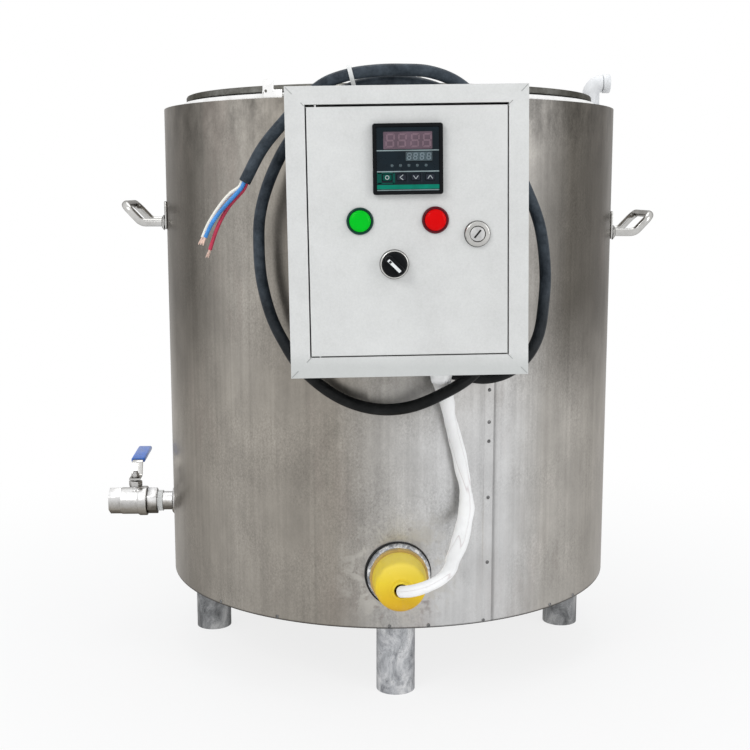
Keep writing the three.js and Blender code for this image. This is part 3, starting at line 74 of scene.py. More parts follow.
def aimed(made, place, ahead):
    """Sets a camera or a lamp in its place, looking along a line."""
    made.location = place
    made.rotation_mode = "QUATERNION"
    made.rotation_quaternion = ahead.to_track_quat("-Z", "Y")
    return made


# Camera, at the height of the box and a little to the left of the tank's axis

CAMERA_PLACE = Vector((-75.4, -1773.0, 644.2))
PITCH, YAW = 0.1507, 0.0318
FOCAL_LENGTH = 59.14


def set_camera():
    level = math.cos(PITCH)
    ahead = Vector((math.sin(YAW) * level, math.cos(YAW) * level, -math.sin(PITCH)))
    data = bpy.data.cameras.new("camera")
    data.lens, data.sensor_width = FOCAL_LENGTH, 36
    data.clip_start, data.clip_end = 0.05, 50
    bpy.context.scene.camera = aimed(linked("camera", data), TANK @ CAMERA_PLACE, ahead)


set_camera()


# Forms

def mesh_of(form, name):
    """Turns a form into a mesh and frees it."""
    mesh = bpy.data.meshes.new(name)
    form.to_mesh(mesh)
    form.free()
    return mesh


def bevelled(form, parts, size, segments, affect="EDGES"):
    """Rounds some edges or corners of a form."""
    bmesh.ops.bevel(form, geom=parts, offset=size, offset_type="OFFSET", segments=segments, profile=0.5,
                    affect=affect, clamp_overlap=True, material=-1)
    return form


def softened(form, size, segments=2, sharper_than=35):
    """Rounds every edge that is sharper than the angle."""
    if size > 0:
        limit = math.radians(sharper_than)
        sharp = [e for e in form.edges if e.is_manifold and e.calc_face_angle() > limit]
        bevelled(form, sharp, size, segments)
    return form


def turned(profile, steps, soft=0.0, segments=2):
    """A profile of (radius, height) pairs, spun about the Z axis."""
    form = bmesh.new()
    corners = [form.verts.new((radius, 0, height)) for radius, height in profile]
    pairs = list(zip(corners, corners[1:]))
    if profile[0][0] > 0 or profile[-1][0] > 0:
        pairs.append((corners[-1], corners[0]))
    edges = [form.edges.new(pair) for pair in pairs]
    bmesh.ops.spin(form, geom=corners + edges, cent=(0, 0, 0), axis=(0, 0, 1), dvec=(0, 0, 0),
                   angle=FULL_TURN, steps=steps, use_merge=True)
    bmesh.ops.remove_doubles(form, verts=form.verts, dist=0.0005)
    bmesh.ops.recalc_face_normals(form, faces=form.faces)
    return softened(form, soft, segments)


def tube(inner, outer, low, high, steps, soft=0.0):
    """A plain tube, or a round bar where the inner radius is 0."""
    return turned([(inner, low), (outer, low), (outer, high), (inner, high)], steps, soft)


def block(width, depth, height, soft=0.0, segments=2):
    form = bmesh.new()
    bmesh.ops.create_cube(form, size=1)
    bmesh.ops.scale(form, vec=(width, depth, height), verts=form.verts)
    return softened(form, soft, segments)


def rounded_plate(width, height, thickness, corner, soft=0.0, steps=6):
    """A plate across X and Z with round corners; it stands from Y 0 back to its thickness."""
    form = block(width, thickness, height)
    bmesh.ops.translate(form, vec=(0, thickness / 2, 0), verts=form.verts)
    upright = [e for e in form.edges if abs(e.verts[0].co.y - e.verts[1].co.y) > thickness / 2]
    return softened(bevelled(form, upright, corner, steps), soft, 2, 50)


def hexagon(across_flats, height, soft, place):
    form = bmesh.new()
    radius = across_flats / math.sqrt(3)
    bmesh.ops.create_cone(form, cap_ends=True, segments=6, radius1=radius, radius2=radius, depth=height)
    bmesh.ops.transform(form, matrix=at(0, 0, height / 2) @ turn(30, "Z"), verts=form.verts)
    return moved(softened(form, soft), place)


def oval(width, height, steps):
    """A flat oval section, facing up the Z axis."""
    form = bmesh.new()
    bmesh.ops.create_circle(form, cap_ends=True, segments=steps, radius=0.5)
    bmesh.ops.scale(form, vec=(width, height, 1), verts=form.verts)
    return form


def strip_section(width, thickness, corner):
    """A flat oblong section with round corners, facing up the Z axis."""
    form = bmesh.new()
    bmesh.ops.create_grid(form, x_segments=1, y_segments=1, size=0.5)
    bmesh.ops.scale(form, vec=(width, thickness, 1), verts=form.verts)
    return bevelled(form, form.verts[:], corner, 3, "VERTICES")


def bent(section, corners, bend, side, steps=10):
    """Draws a flat section along straight runs, with each corner spun on the bend's radius."""
    corners = [Vector(corner) for corner in corners]
    runs = [(b - a).normalized() for a, b in zip(corners, corners[1:])]
    across = Vector(side)
    across = (across - runs[0] * across.dot(runs[0])).normalized()
    stand = Matrix((across.cross(runs[0]) * -1, across, runs[0])).transposed().to_4x4()
    bmesh.ops.transform(section, matrix=Matrix.Translation(corners[0]) @ stand, verts=section.verts)
    front = section.faces[:]
    here = corners[0]
    for i, run in enumerate(runs):
        last = i == len(runs) - 1
        angle = 0 if last else run.angle(runs[i + 1])
        tangent = bend * math.tan(angle / 2)
        step = corners[i + 1] - run * tangent - here
        front = faces_in(bmesh.ops.extrude_face_region(section, geom=front)["geom"])
        verts = list({v for face in front for v in face.verts})
        bmesh.ops.translate(section, vec=step, verts=verts)
        if last:
            break
        inward = (runs[i + 1] - run * math.cos(angle)).normalized()
        centre = corners[i + 1] - run * tangent + inward * bend
        ring = front + list({e for face in front for e in face.edges}) + verts
        spun = bmesh.ops.spin(section, geom=ring, cent=centre, axis=run.cross(runs[i + 1]).normalized(),
                              dvec=(0, 0, 0), angle=angle, steps=steps, use_duplicate=False)
        front = faces_in(spun["geom_last"])
        here = corners[i + 1] + runs[i + 1] * tangent
    bmesh.ops.recalc_face_normals(section, faces=section.faces)
    return section


def faces_in(parts):
    return [part for part in parts if isinstance(part, bmesh.types.BMFace)]


def moved(form, matrix):
    bmesh.ops.transform(form, matrix=matrix, verts=form.verts)
    if matrix.determinant() < 0:
        bmesh.ops.reverse_faces(form, faces=form.faces)
    return form


def together(*forms):
    """Several forms kept as one piece."""
    first = forms[0]
    for form in forms[1:]:
        spare = mesh_of(form, "spare")
        first.from_mesh(spare)
        bpy.data.meshes.remove(spare)
    return first


def laid(bead, axes, growth):
    """A weld bead laid by hand: it grows along the axes by what growth says for each angle round it."""
    for vert in bead.verts:
        grown = growth(math.atan2(vert.co.y, vert.co.x))
        for axis in axes:
            vert.co[axis] *= grown
    return bead


def from_cad(node, place, soft):
    """A merged copy of a CAD node, its flat faces joined up and its edges rounded."""
    form = bmesh.new()
    form.from_mesh(frame["nodes"][node].data)
    moved(form, place.inverted())
    bmesh.ops.remove_doubles(form, verts=form.verts, dist=0.002)
    bmesh.ops.dissolve_limit(form, angle_limit=math.radians(1), verts=form.verts, edges=form.edges,
                             delimit=set())
    return softened(form, soft)


# Pieces

FINISHES = {}


def fitted(name, data, finish, body=None):
    """An object that stands for the CAD node of its name, or else rides with the body."""
    is_node = name in frame["nodes"]
    made = linked(name + "_finish" if is_node else name, data)
    data.name = made.name
    data.materials.append(FINISHES[finish].material)
    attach(made, body or BODY_OF[name])
    if is_node:
        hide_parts(name)
    return made


def piece(form, name, finish, body=None, place=TANK, smooth=32, weigh=False):
    """Puts a form in its place, shaded smooth up to an angle."""
    mesh = mesh_of(moved(form, place), name)
    mesh.shade_smooth()
    mesh.set_sharp_from_angle(angle=math.radians(smooth))
    made = fitted(name, mesh, finish, body)
    if weigh:
        made.modifiers.new("weigh", "WEIGHTED_NORMAL").keep_sharp = True
    return made


def kept(node, finish, soft=0.0, place=TANK, weigh=False):
    """A piece that keeps its node's form, with softer edges."""
    return piece(from_cad(node, place, soft), node, finish, place=place, weigh=weigh)


def cut_from(made, *forms, place=TANK):
    """Cuts forms, drawn in the same place, out of a finished piece."""
    for form in forms:
        tool = linked("cutter", mesh_of(moved(form, place), "cutter"))
        modifier = made.modifiers.new("cut", "BOOLEAN")
        modifier.operation, modifier.solver, modifier.object = "DIFFERENCE", "EXACT", tool
        modifier.use_self = True
        bpy.context.view_layer.update()
        cut_mesh = bpy.data.meshes.new_from_object(made.evaluated_get(bpy.context.evaluated_depsgraph_get()))
        made.modifiers.remove(modifier)
        old, made.data = made.data, cut_mesh
        bpy.data.meshes.remove(old)
        made.data.name = made.name
        bpy.data.meshes.remove(tool.data)


# Finishes

def feed(tree, socket, value):
    """Links a socket to another node's output, or sets its number, vector or colour."""
    if hasattr(value, "is_output"):
        tree.links.new(value, socket)
    elif socket.type == "RGBA":
        socket.default_value = (*value, 1)
    else:
        socket.default_value = value


def wired(tree, kind, *sources, **named):
    """Adds a shader node: its first inputs take the sources, and other inputs and settings go by name."""
    made = tree.nodes.new("ShaderNode" + kind)
    for key, value in named.items():
        if key in made.inputs:
            feed(tree, made.inputs[key], value)
        else:
            setattr(made, key, value)
    for socket, source in zip(made.inputs, sources):
        feed(tree, socket, source)
    return made.outputs


class Finish:
    """A material whose patterns are read from the piece's own coordinates. Sizes are in metres."""

    def __init__(self, name, colour, roughness, slot=None, metallic=0.0, tint=None, gloss=0.5, coat=0.0,
                 coat_roughness=0.1):
        self.slot = slot or name
        self.material = bpy.data.materials.new(name + "_finish")
        self.material.diffuse_color = (*colour, 1)
        self.material.use_nodes = True
        self.tree = self.material.node_tree
        self.shader = self.tree.nodes["Principled BSDF"]
        tint = tint or ((0.35, 0.34, 0.33) if metallic > 0 else (1, 1, 1))
        for key, value in (("Base Color", colour), ("Roughness", roughness), ("Metallic", metallic),
                           ("Specular Tint", tint), ("Specular IOR Level", gloss), ("Coat Weight", coat),
                           ("Coat Roughness", coat_roughness)):
            feed(self.tree, self.shader.inputs[key], value)
        FINISHES[name] = self

    def node(self, kind, *sources, **named):
        return wired(self.tree, kind, *sources, **named)

    def place(self, scale=(1, 1, 1), shift=(0, 0, 0), uv=False):
        spot = self.node("TexCoord")["UV" if uv else "Object"]
        return self.node("Mapping", spot, Scale=scale, Location=shift)["Vector"]

    def along(self, axis, shift=(0, 0, 0)):
        """The coordinate along X, Y or Z."""
        return self.node("SeparateXYZ", self.place(shift=shift))[axis]

    def noise(self, size, stretch=(1, 1, 1), detail=3.0, rough=0.55, shift=(0, 0, 0), distortion=0.0,
              uv=False):
        """Cloudy noise whose blotches are about this size."""
        spot = self.place([1 / (size * s) for s in stretch], shift, uv)
        return self.node("TexNoise", spot, Scale=1.0, Detail=detail, Roughness=rough,
                         Distortion=distortion)["Fac"]

    def sums(self, operation, *values):
        return self.node("Math", *values, operation=operation)["Value"]

    def spread(self, value, low, high, start=0.0, end=1.0, eased="LINEAR"):
        """Goes from start to end while the value goes from low to high."""
        return self.node("MapRange", value, low, high, start, end, interpolation_type=eased)["Result"]

    def nearness(self, value):
        """How far a noise is from its middle: 0 along thin winding lines."""
        return self.sums("ABSOLUTE", self.sums("SUBTRACT", value, 0.5))

    def ramp(self, value, *stops):
        """Turns a value into a colour through (place, colour or grey) stops."""
        made = self.tree.nodes.new("ShaderNodeValToRGB")
        elements = made.color_ramp.elements
        while len(elements) < len(stops):
            elements.new(0.5)
        for element, (place, colour) in zip(elements, stops):
            element.position = place
            element.color = (*(colour if hasattr(colour, "__len__") else grey(colour)), 1)
        feed(self.tree, made.inputs["Fac"], value)
        return made.outputs["Color"]

    def patches(self, size, *stops, **noise):
        """Cloudy noise of this size, through a ramp."""
        return self.ramp(self.noise(size, **noise), *stops)

    def mix(self, amount, first, second, blend="MIX"):
        made = self.tree.nodes.new("ShaderNodeMix")
        made.data_type, made.blend_type = "RGBA", blend
        for number, value in ((0, amount), (6, first), (7, second)):
            feed(self.tree, made.inputs[number], value)
        return made.outputs[2]

    def colour(self, source):
        self.base = source
        feed(self.tree, self.shader.inputs["Base Color"], source)

    def tinted(self, amount, colour):
        """Lays a colour over what is there."""
        self.colour(self.mix(amount, self.base, colour))

    def mottled(self, amount, value, *stops):
        """Lightens and darkens what is there by a ramp's greys."""
        self.colour(self.mix(amount, self.base, self.ramp(value, *stops), "OVERLAY"))

    def roughness(self, value, *stops):
        feed(self.tree, self.shader.inputs["Roughness"], self.ramp(value, *stops))

    def bump(self, height, distance, strength):
        """Adds a relief to the reliefs that are there."""
        normal = self.shader.inputs["Normal"]
        before = {"Normal": link.from_socket for link in normal.links}
        made = self.node("Bump", Height=height, Distance=distance, Strength=strength, **before)
        feed(self.tree, normal, made["Normal"])


def grey(level):
    return (level, level, level)


def dull_steel(level):
    """Steel of this brightness: warm where it is dark, neutral where it is bright."""
    warmth = max(0, min(1, (0.55 - level) / 0.3))
    return (level * (1 + 0.09 * warmth), level, level * (1 - 0.13 * warmth))


# From the frame's origin to the tank's axis, and to the heater in its side
TANK_SHIFT = (-AXIS_X * MILLIMETRE, -AXIS_Y * MILLIMETRE, 0)
HEATER_SHIFT = (-AXIS_X * MILLIMETRE, 0.2135, -0.175)

# Painted reflections and shade on the rolled sheet, given as its brightness at angles round the tank: below
# the middle, and near the rim
LOWER_REFLECTION_BANDS = [(-180, 0.30), (-152, 0.20), (-130, 0.30), (-105, 0.26), (-80, 0.56), (-64, 0.57), (-52, 0.39),
               (-8, 0.26), (30, 0.24), (80, 0.50), (112, 0.27), (150, 0.23), (180, 0.30)]
UPPER_REFLECTION_BANDS = [(-180, 0.14), (-146, 0.09), (-128, 0.33), (-115, 0.19), (-90, 0.24), (-68, 0.43), (-46, 0.11),
               (-30, 0.08), (0, 0.14), (80, 0.44), (112, 0.26), (150, 0.20), (180, 0.14)]


def shell_steel():
    """Rolled stainless sheet: broad upright bands of painted reflection and shade round the tank, fine
    streaks and a speckled bloom.
    """
    made = Finish("shell_steel", (0.27, 0.26, 0.24), 0.34, metallic=1.0, tint=(0.76, 0.745, 0.73))
    x, y, z = (made.along(axis, TANK_SHIFT) for axis in "XYZ")
    wander = made.sums("MULTIPLY_ADD", made.noise(0.25, stretch=(1, 1, 2), detail=2), 0.10, -0.05)
    angle = made.sums("ADD", made.sums("ARCTAN2", y, x), wander)
    share = made.sums("MULTIPLY_ADD", angle, 1 / FULL_TURN, 0.5)
    # Painted reflections and shade: the sheet's brightness is set by its angle round the tank, with lower and
    # upper bands mixed by height
    bands = [made.ramp(share, *(((degrees + 180) / 360, dull_steel(level)) for degrees, level in stops))
             for stops in (LOWER_REFLECTION_BANDS, UPPER_REFLECTION_BANDS)]
    height = made.sums("MULTIPLY_ADD", made.noise(0.12, detail=3, shift=(3, 3, 1)), 0.10, z)
    made.colour(made.mix(made.spread(height, 0.38, 0.56, eased="SMOOTHSTEP"), *bands))
    streaks = made.noise(0.007, stretch=(1, 1, 60), detail=3, rough=0.6, shift=(3, 1, 2))
    made.mottled(0.22, streaks, (0.3, 0.30), (0.7, 0.72))
    clouds = made.noise(0.05, stretch=(1, 1, 1.6), detail=6, rough=0.68, shift=(5, 1, 0))
    cloudy = made.spread(z, 0.64, 0.74, 0.24, 0.85, eased="SMOOTHSTEP")
    made.mottled(cloudy, clouds, (0.32, 0.22), (0.68, 0.80))
    bloom = made.patches(0.09, (0.40, 0.10), (0.60, 0.42), detail=3, shift=(1, 9, 4))
    grain = made.noise(0.0024, stretch=(1, 1, 1.3), detail=4, rough=0.8)
    made.mottled(bloom, grain, (0.28, 0.18), (0.72, 0.82))
    rust = made.patches(0.10, (0.56, 0.0), (0.75, 0.35), stretch=(1, 1, 3), detail=4, rough=0.6,
                        shift=(8, 2, 5))
    made.tinted(rust, (0.30, 0.245, 0.22))
    away = made.node("VectorMath", made.place(shift=HEATER_SHIFT), operation="LENGTH")["Value"]
    near = made.ramp(away, (0.040, 0.0), (0.046, 1.0), (0.062, 0.55), (0.085, 0.0))
    smears = made.patches(0.016, (0.46, 0.0), (0.58, 0.75), detail=4, rough=0.6, distortion=0.8)
    made.tinted(made.sums("MULTIPLY", near, smears), (0.52, 0.50, 0.46))
    scorch = made.patches(0.012, (0.60, 0.0), (0.72, 0.5), detail=3, shift=(3, 0, 3))
    made.tinted(made.sums("MULTIPLY", near, scorch), (0.10, 0.055, 0.045))
    # Painted shadow: a thin dark line along the shell's bottom edge
    made.tinted(made.spread(z, 0.1046, 0.1066, 0.92, 0.0), (0.02, 0.018, 0.016))
    made.roughness(made.noise(0.07, stretch=(1, 1, 3), detail=4), (0.25, 0.26), (0.75, 0.44))
    made.bump(made.noise(0.0016, stretch=(1, 1, 30), detail=2, rough=0.7), 0.00004, 0.5)
    made.bump(made.noise(0.11, detail=2), 0.0008, 0.25)


def lid_steel():
    """The lid's thicker sheet, dull, with painted shade making its turned edge dark."""
    made = Finish("lid_steel", (0.16, 0.155, 0.14), 0.42, slot="shell_steel", metallic=1.0)
    clouds = made.noise(0.045, detail=6, rough=0.7)
    # Painted shade: below this height the turned edge takes darker copies of the sheet's tones
    edge = made.ramp(clouds, (0.3, (0.075, 0.072, 0.062)), (0.5, (0.15, 0.148, 0.135)),
                     (0.75, (0.30, 0.30, 0.285)))
    made.colour(made.ramp(clouds, (0.3, (0.27, 0.265, 0.25)), (0.7, (0.42, 0.415, 0.40))))
    brushed = made.noise(0.006, stretch=(30, 1, 1), detail=3, rough=0.6)
    made.mottled(0.35, brushed, (0.3, 0.30), (0.7, 0.70))
    made.colour(made.mix(made.spread(made.along("Z"), 0.7672, 0.7678), edge, made.base))
    grain = made.noise(0.003, detail=4, rough=0.75)
    made.mottled(0.3, grain, (0.25, 0.25), (0.75, 0.75))
    made.roughness(clouds, (0.3, 0.46), (0.75, 0.32))
    made.bump(grain, 0.00005, 0.5)


def rim_steel():
    """The pot's polished steel: bright, with faint turning lines and dried drips."""
    made = Finish("rim_steel", (0.94, 0.94, 0.935), 0.22, slot="bright_steel", metallic=1.0, tint=grey(0.95))
    made.colour(made.patches(0.02, (0.25, (0.84, 0.84, 0.83)), (0.55, (0.97, 0.97, 0.965)),
                             detail=5, rough=0.65))
    made.roughness(made.noise(0.012, detail=4), (0.3, 0.16), (0.8, 0.34))
    made.bump(made.noise(0.0012, stretch=(1, 1, 6), detail=2), 0.00002, 0.5)


def bright_steel():
    """Handles and chromed fittings."""
    made = Finish("bright_steel", (0.68, 0.675, 0.66), 0.2, metallic=1.0)
    made.colour(made.patches(0.03, (0.25, (0.40, 0.395, 0.38)), (0.75, (0.68, 0.675, 0.66)),
                             detail=5, rough=0.65))
    made.roughness(made.noise(0.012, detail=4), (0.3, 0.14), (0.8, 0.32))
    made.bump(made.noise(0.0012, stretch=(1, 6, 1), detail=2), 0.00002, 0.5)


def pipe_steel():
    """Galvanised pipe: blotched zinc with thin cracks, with painted light making the legs that stand forward
    paler.
    """
    made = Finish("pipe_steel", (0.36, 0.365, 0.37), 0.5, metallic=0.75)
    blotches = made.noise(0.022, stretch=(1, 1, 1.6), detail=6, rough=0.7, distortion=0.6)
    # Painted light and shade: a darker copy of the zinc for parts behind and a pale copy for parts that stand
    # forward, mixed by Y
    dull = made.ramp(blotches, (0.3, (0.08, 0.083, 0.086)), (0.5, (0.27, 0.275, 0.28)), (0.72, grey(0.52)))
    pale = made.ramp(blotches, (0.3, (0.17, 0.175, 0.19)), (0.5, (0.50, 0.51, 0.53)), (0.72, grey(0.86)))
    made.colour(made.mix(made.spread(made.along("Y"), -0.06, 0.02), pale, dull))
    cracks = made.noise(0.011, stretch=(1, 1, 1.3), detail=4, rough=0.6, distortion=1.5, shift=(1, 5, 2))
    made.tinted(made.ramp(made.nearness(cracks), (0.0, 0.6), (0.012, 0.0)), (0.08, 0.08, 0.085))
    made.roughness(blotches, (0.3, 0.62), (0.7, 0.36))
    made.bump(made.noise(0.004, detail=4, rough=0.7), 0.0003, 0.5)


def blasted(made):
    """The grain of cast and sandblasted steel."""
    made.roughness(made.noise(0.006, detail=4), (0.3, 0.26), (0.75, 0.46))
    made.bump(made.noise(0.0013, detail=4, rough=0.6), 0.00012, 0.6)


def cast_steel():
    """Small steel parts inside the box, pins and the lock's plug."""
    made = Finish("cast_steel", (0.56, 0.56, 0.55), 0.34, metallic=1.0)
    made.colour(made.patches(0.01, (0.25, 0.42), (0.75, 0.68), detail=5, rough=0.7))
    blasted(made)


def valve_steel(name, lowest, highest, *levels):
    """Cast steel with painted light and shade by height: bright above, dark on its underside."""
    made = Finish(name, (0.5, 0.5, 0.49), 0.34, slot="cast_steel", metallic=1.0)
    height = made.sums("MULTIPLY_ADD", made.noise(0.008, detail=4), 0.008, made.along("Z"))
    lit_by_height = made.spread(height, lowest, highest)
    made.colour(made.ramp(lit_by_height, *((place, dull_steel(level)) for place, level in levels)))
    made.mottled(0.35, made.noise(0.003, detail=4, rough=0.8), (0.3, 0.25), (0.7, 0.75))
    blasted(made)


def worn_plating():
    """A galvanised ring with pale patches, dull zinc and dark spots."""
    made = Finish("worn_plating", (0.4, 0.41, 0.42), 0.5, slot="pipe_steel", metallic=0.6)
    patches = made.noise(0.011, detail=5, rough=0.75, distortion=0.5)
    made.colour(made.ramp(patches, (0.32, (0.16, 0.165, 0.17)), (0.47, (0.36, 0.37, 0.39)),
                          (0.58, (0.80, 0.80, 0.79))))
    spots = made.patches(0.004, (0.60, 0.0), (0.68, 0.8), detail=3, rough=0.7, shift=(2, 4, 1))
    made.tinted(spots, (0.07, 0.055, 0.05))
    made.roughness(patches, (0.3, 0.6), (0.7, 0.36))
    made.bump(patches, 0.0006, 0.6)


def dark_steel():
    """Blackened heads of the small fasteners, lighter in patches."""
    made = Finish("dark_steel", (0.10, 0.095, 0.09), 0.45, slot="cast_steel", metallic=0.9)
    made.colour(made.patches(0.003, (0.35, 0.05), (0.7, 0.30), detail=4, rough=0.7))
    made.roughness(made.noise(0.002, detail=3), (0.3, 0.3), (0.7, 0.6))
    made.bump(made.noise(0.001, detail=3), 0.00006, 0.5)


def box_paint():
    """Off-white powder coat: a fine speckle and orange peel, greyer where dust lies, and greyer at the bottom
    by painted shade.
    """
    made = Finish("box_paint", (0.64, 0.65, 0.645), 0.42, coat=0.10, coat_roughness=0.35)
    made.colour(made.patches(0.06, (0.25, (0.585, 0.588, 0.575)), (0.7, (0.665, 0.67, 0.655)),
                             detail=6, rough=0.65))
    made.mottled(0.16, made.noise(0.0021, detail=3, rough=0.75), (0.3, 0.25), (0.7, 0.75))
    # Painted shade: the paint greys towards the lower border
    made.tinted(made.spread(made.along("Z"), 0.458, 0.474, 0.55, 0.0), (0.46, 0.475, 0.462))
    marks = made.patches(0.012, (0.62, 0.0), (0.78, 0.35), stretch=(1, 1, 2.5), detail=5, rough=0.7,
                         shift=(2, 7, 1))
    made.tinted(marks, (0.50, 0.50, 0.48))
    made.roughness(made.noise(0.02, detail=3), (0.3, 0.36), (0.7, 0.5))
    made.bump(made.noise(0.0016, detail=3, rough=0.6), 0.00008, 0.6)
    made.bump(made.noise(0.05, detail=1), 0.0006, 0.2)


def cap_plastic():
    """Yellow moulding, with painted light and shade making it paler above and darker orange below, with dull
    smudges and a few scuffs.
    """
    made = Finish("yellow_plastic", (0.80, 0.56, 0.06), 0.42, gloss=0.2)
    # Painted light and shade: the yellow runs from pale at the top to a darker orange at the bottom
    made.colour(made.ramp(made.spread(made.along("Z"), 0.142, 0.208), (0.0, (0.62, 0.33, 0.020)),
                          (0.3, (0.80, 0.52, 0.022)), (0.6, (0.84, 0.63, 0.040)), (1.0, (0.86, 0.68, 0.11))))
    made.tinted(made.patches(0.012, (0.52, 0.0), (0.8, 0.45), detail=5, rough=0.7), (0.60, 0.42, 0.12))
    scuffs = made.patches(0.004, (0.66, 0.0), (0.74, 0.5), stretch=(2.5, 1, 1), detail=4, rough=0.8,
                          shift=(1, 2, 3))
    made.tinted(scuffs, (0.90, 0.78, 0.42))
    made.roughness(made.noise(0.008, detail=3), (0.3, 0.34), (0.7, 0.58))
    made.bump(made.noise(0.0012, detail=3), 0.00008, 0.5)


def cable_rubber():
    """Black rubber, dark below, with a painted bluish sheen above that stands in for reflected light."""
    made = Finish("cable_rubber", (0.004, 0.005, 0.006), 0.5, gloss=0.16)
    # Painted sheen: patches of this noise lighten the rubber and tint it blue towards the top, and it stays
    # dark below
    dust = made.noise(0.02, detail=5, rough=0.7)
    dark_below = made.ramp(dust, (0.40, (0.0022, 0.0028, 0.0030)), (0.85, grey(0.016)))
    sheen_above = made.ramp(dust, (0.35, (0.014, 0.020, 0.027)), (0.75, (0.070, 0.088, 0.108)))
    made.colour(made.mix(made.spread(made.along("Z"), 0.41, 0.60, eased="SMOOTHSTEP"), dark_below, sheen_above))
    made.roughness(made.noise(0.03, detail=3), (0.3, 0.38), (0.7, 0.6))
    made.bump(made.noise(0.0007, detail=2), 0.00005, 0.6)


def woven_cloth():
    """A white woven sleeve: slanting ribs along its own UV, with thin creases darkened by painted shade, and
    soiled spots.
    """
    made = Finish("white_cloth", (0.90, 0.895, 0.88), 0.85)
    made.shader.inputs["Sheen Weight"].default_value = 0.2
    made.colour(made.patches(0.02, (0.22, (0.78, 0.77, 0.75)), (0.36, (0.92, 0.915, 0.905)),
                             (0.8, (0.955, 0.955, 0.95)), detail=6, rough=0.7))
    lines = made.noise(1, stretch=(0.5, 0.24, 1), detail=2, rough=0.4, shift=(4, 2, 9), uv=True)
    creases = made.nearness(lines)
    # Painted shade: a greyish-pink tint darkens the cloth along the crease lines
    made.tinted(made.ramp(creases, (0.0, 0.5), (0.008, 0.0)), (0.55, 0.45, 0.45))
    ribs = made.node("TexWave", made.place(scale=(9, 150, 1), uv=True), wave_type="BANDS",
                     bands_direction="DIAGONAL", Scale=1.0, Distortion=1.2, Detail=2.0)
    made.bump(ribs["Fac"], 0.00035, 0.3)
    made.bump(made.noise(0.005, detail=3), 0.0005, 0.25)
    made.bump(made.ramp(creases, (0.0, 0.0), (0.03, 1.0)), 0.0010, 0.5)


def plastic(name, colour, roughness, slot=None, gloss=0.3, coat=0.0, spread=0.25, size=0.015, grain=0.0006,
            depth=0.00003):
    """A moulding, a print or a bare end in one colour, a little lighter and darker by a share."""
    made = Finish(name, colour, roughness, slot, gloss=gloss, coat=coat, coat_roughness=0.08)
    low = tuple(c * (1 - spread) for c in colour)
    high = tuple(min(1, c * (1 + spread)) for c in colour)
    made.colour(made.patches(size, (0.25, low), (0.75, high), detail=4))
    made.roughness(made.noise(size / 2, detail=3), (0.3, roughness * 0.8), (0.7, roughness * 1.2))
    made.bump(made.noise(grain, detail=2), depth, 0.5)


for make_finish in (shell_steel, lid_steel, rim_steel, bright_steel, pipe_steel, cast_steel, dark_steel,
                    worn_plating, box_paint, cap_plastic, cable_rubber, woven_cloth):
    make_finish()
# Painted light and shade: brightness by height, dark below and bright above, on the valve and on the pipe
# with its end cap
valve_steel("valve_steel", 0.166, 0.216, (0.10, 0.13), (0.38, 0.26), (0.58, 0.50), (0.84, 0.92), (1.0, 0.50))
valve_steel("nipple_steel", 0.172, 0.208, (0.05, 0.09), (0.45, 0.13), (0.60, 0.40), (0.75, 0.92), (1.0, 0.60))
plastic("box_seam", (0.30, 0.31, 0.30), 0.6, slot="box_paint")
plastic("black_plastic", (0.0045, 0.005, 0.006), 0.42, gloss=0.09)
plastic("dark_face", (0.003, 0.009, 0.014), 0.3, gloss=0.16)
plastic("key_cell", (0.014, 0.018, 0.028), 0.35, slot="dark_face", gloss=0.16)
plastic("teal_field", (0.0, 0.060, 0.045), 0.4, slot="dark_face", gloss=0.12)
plastic("teal_print", (0.0, 0.175, 0.115), 0.4, slot="dark_face", gloss=0.12)
plastic("silver_print", (0.22, 0.28, 0.29), 0.4, slot="dark_face")
plastic("key_print", (0.42, 0.46, 0.47), 0.4, slot="dark_face", spread=0.08)
plastic("window_pink", (0.105, 0.066, 0.088), 0.2, slot="dark_face", coat=0.12)
plastic("window_grey", (0.048, 0.074, 0.084), 0.2, slot="dark_face", coat=0.12)
plastic("digit_pink", (0.172, 0.112, 0.138), 0.3, slot="dark_face", spread=0.1)
plastic("digit_grey", (0.160, 0.205, 0.230), 0.3, slot="dark_face", spread=0.1)
plastic("green_lens", (0.0, 0.51, 0.018), 0.16, slot="green_plastic", spread=0.08, coat=0.03, gloss=0.05)
plastic("green_plastic", (0.0, 0.040, 0.026), 0.3, gloss=0.2)
plastic("red_lens", (0.66, 0.001, 0.002), 0.16, slot="red_plastic", spread=0.08, coat=0.03, gloss=0.05)
plastic("red_plastic", (0.095, 0.003, 0.010), 0.3, gloss=0.2)
plastic("blue_plastic", (0.045, 0.16, 0.58), 0.33, coat=0.1)
plastic("white_plastic", (0.70, 0.71, 0.70), 0.35, spread=0.06, coat=0.2)
plastic("white_print", (0.72, 0.74, 0.74), 0.4, slot="white_plastic", spread=0.08)
plastic("elbow_white", (0.74, 0.75, 0.76), 0.32, slot="white_plastic", spread=0.12, size=0.02, coat=0.1)
plastic("core_cream", (0.90, 0.87, 0.78), 0.4, slot="white_plastic", spread=0.05)
plastic("core_blue", (0.06, 0.27, 0.66), 0.4, slot="blue_plastic")
plastic("core_red", (0.56, 0.045, 0.095), 0.4, slot="red_plastic")
plastic("brass", (0.52, 0.36, 0.12), 0.35)
plastic("bare_copper", (0.86, 0.60, 0.50), 0.4, slot="brass", grain=0.0012, depth=0.0004)
plastic("seal_rubber", (0.015, 0.015, 0.015), 0.65)
plastic("dark_gap", (0.03, 0.03, 0.03), 0.8, slot="seal_rubber")


# Cords first: the power cable, its three cores and the heater's lead

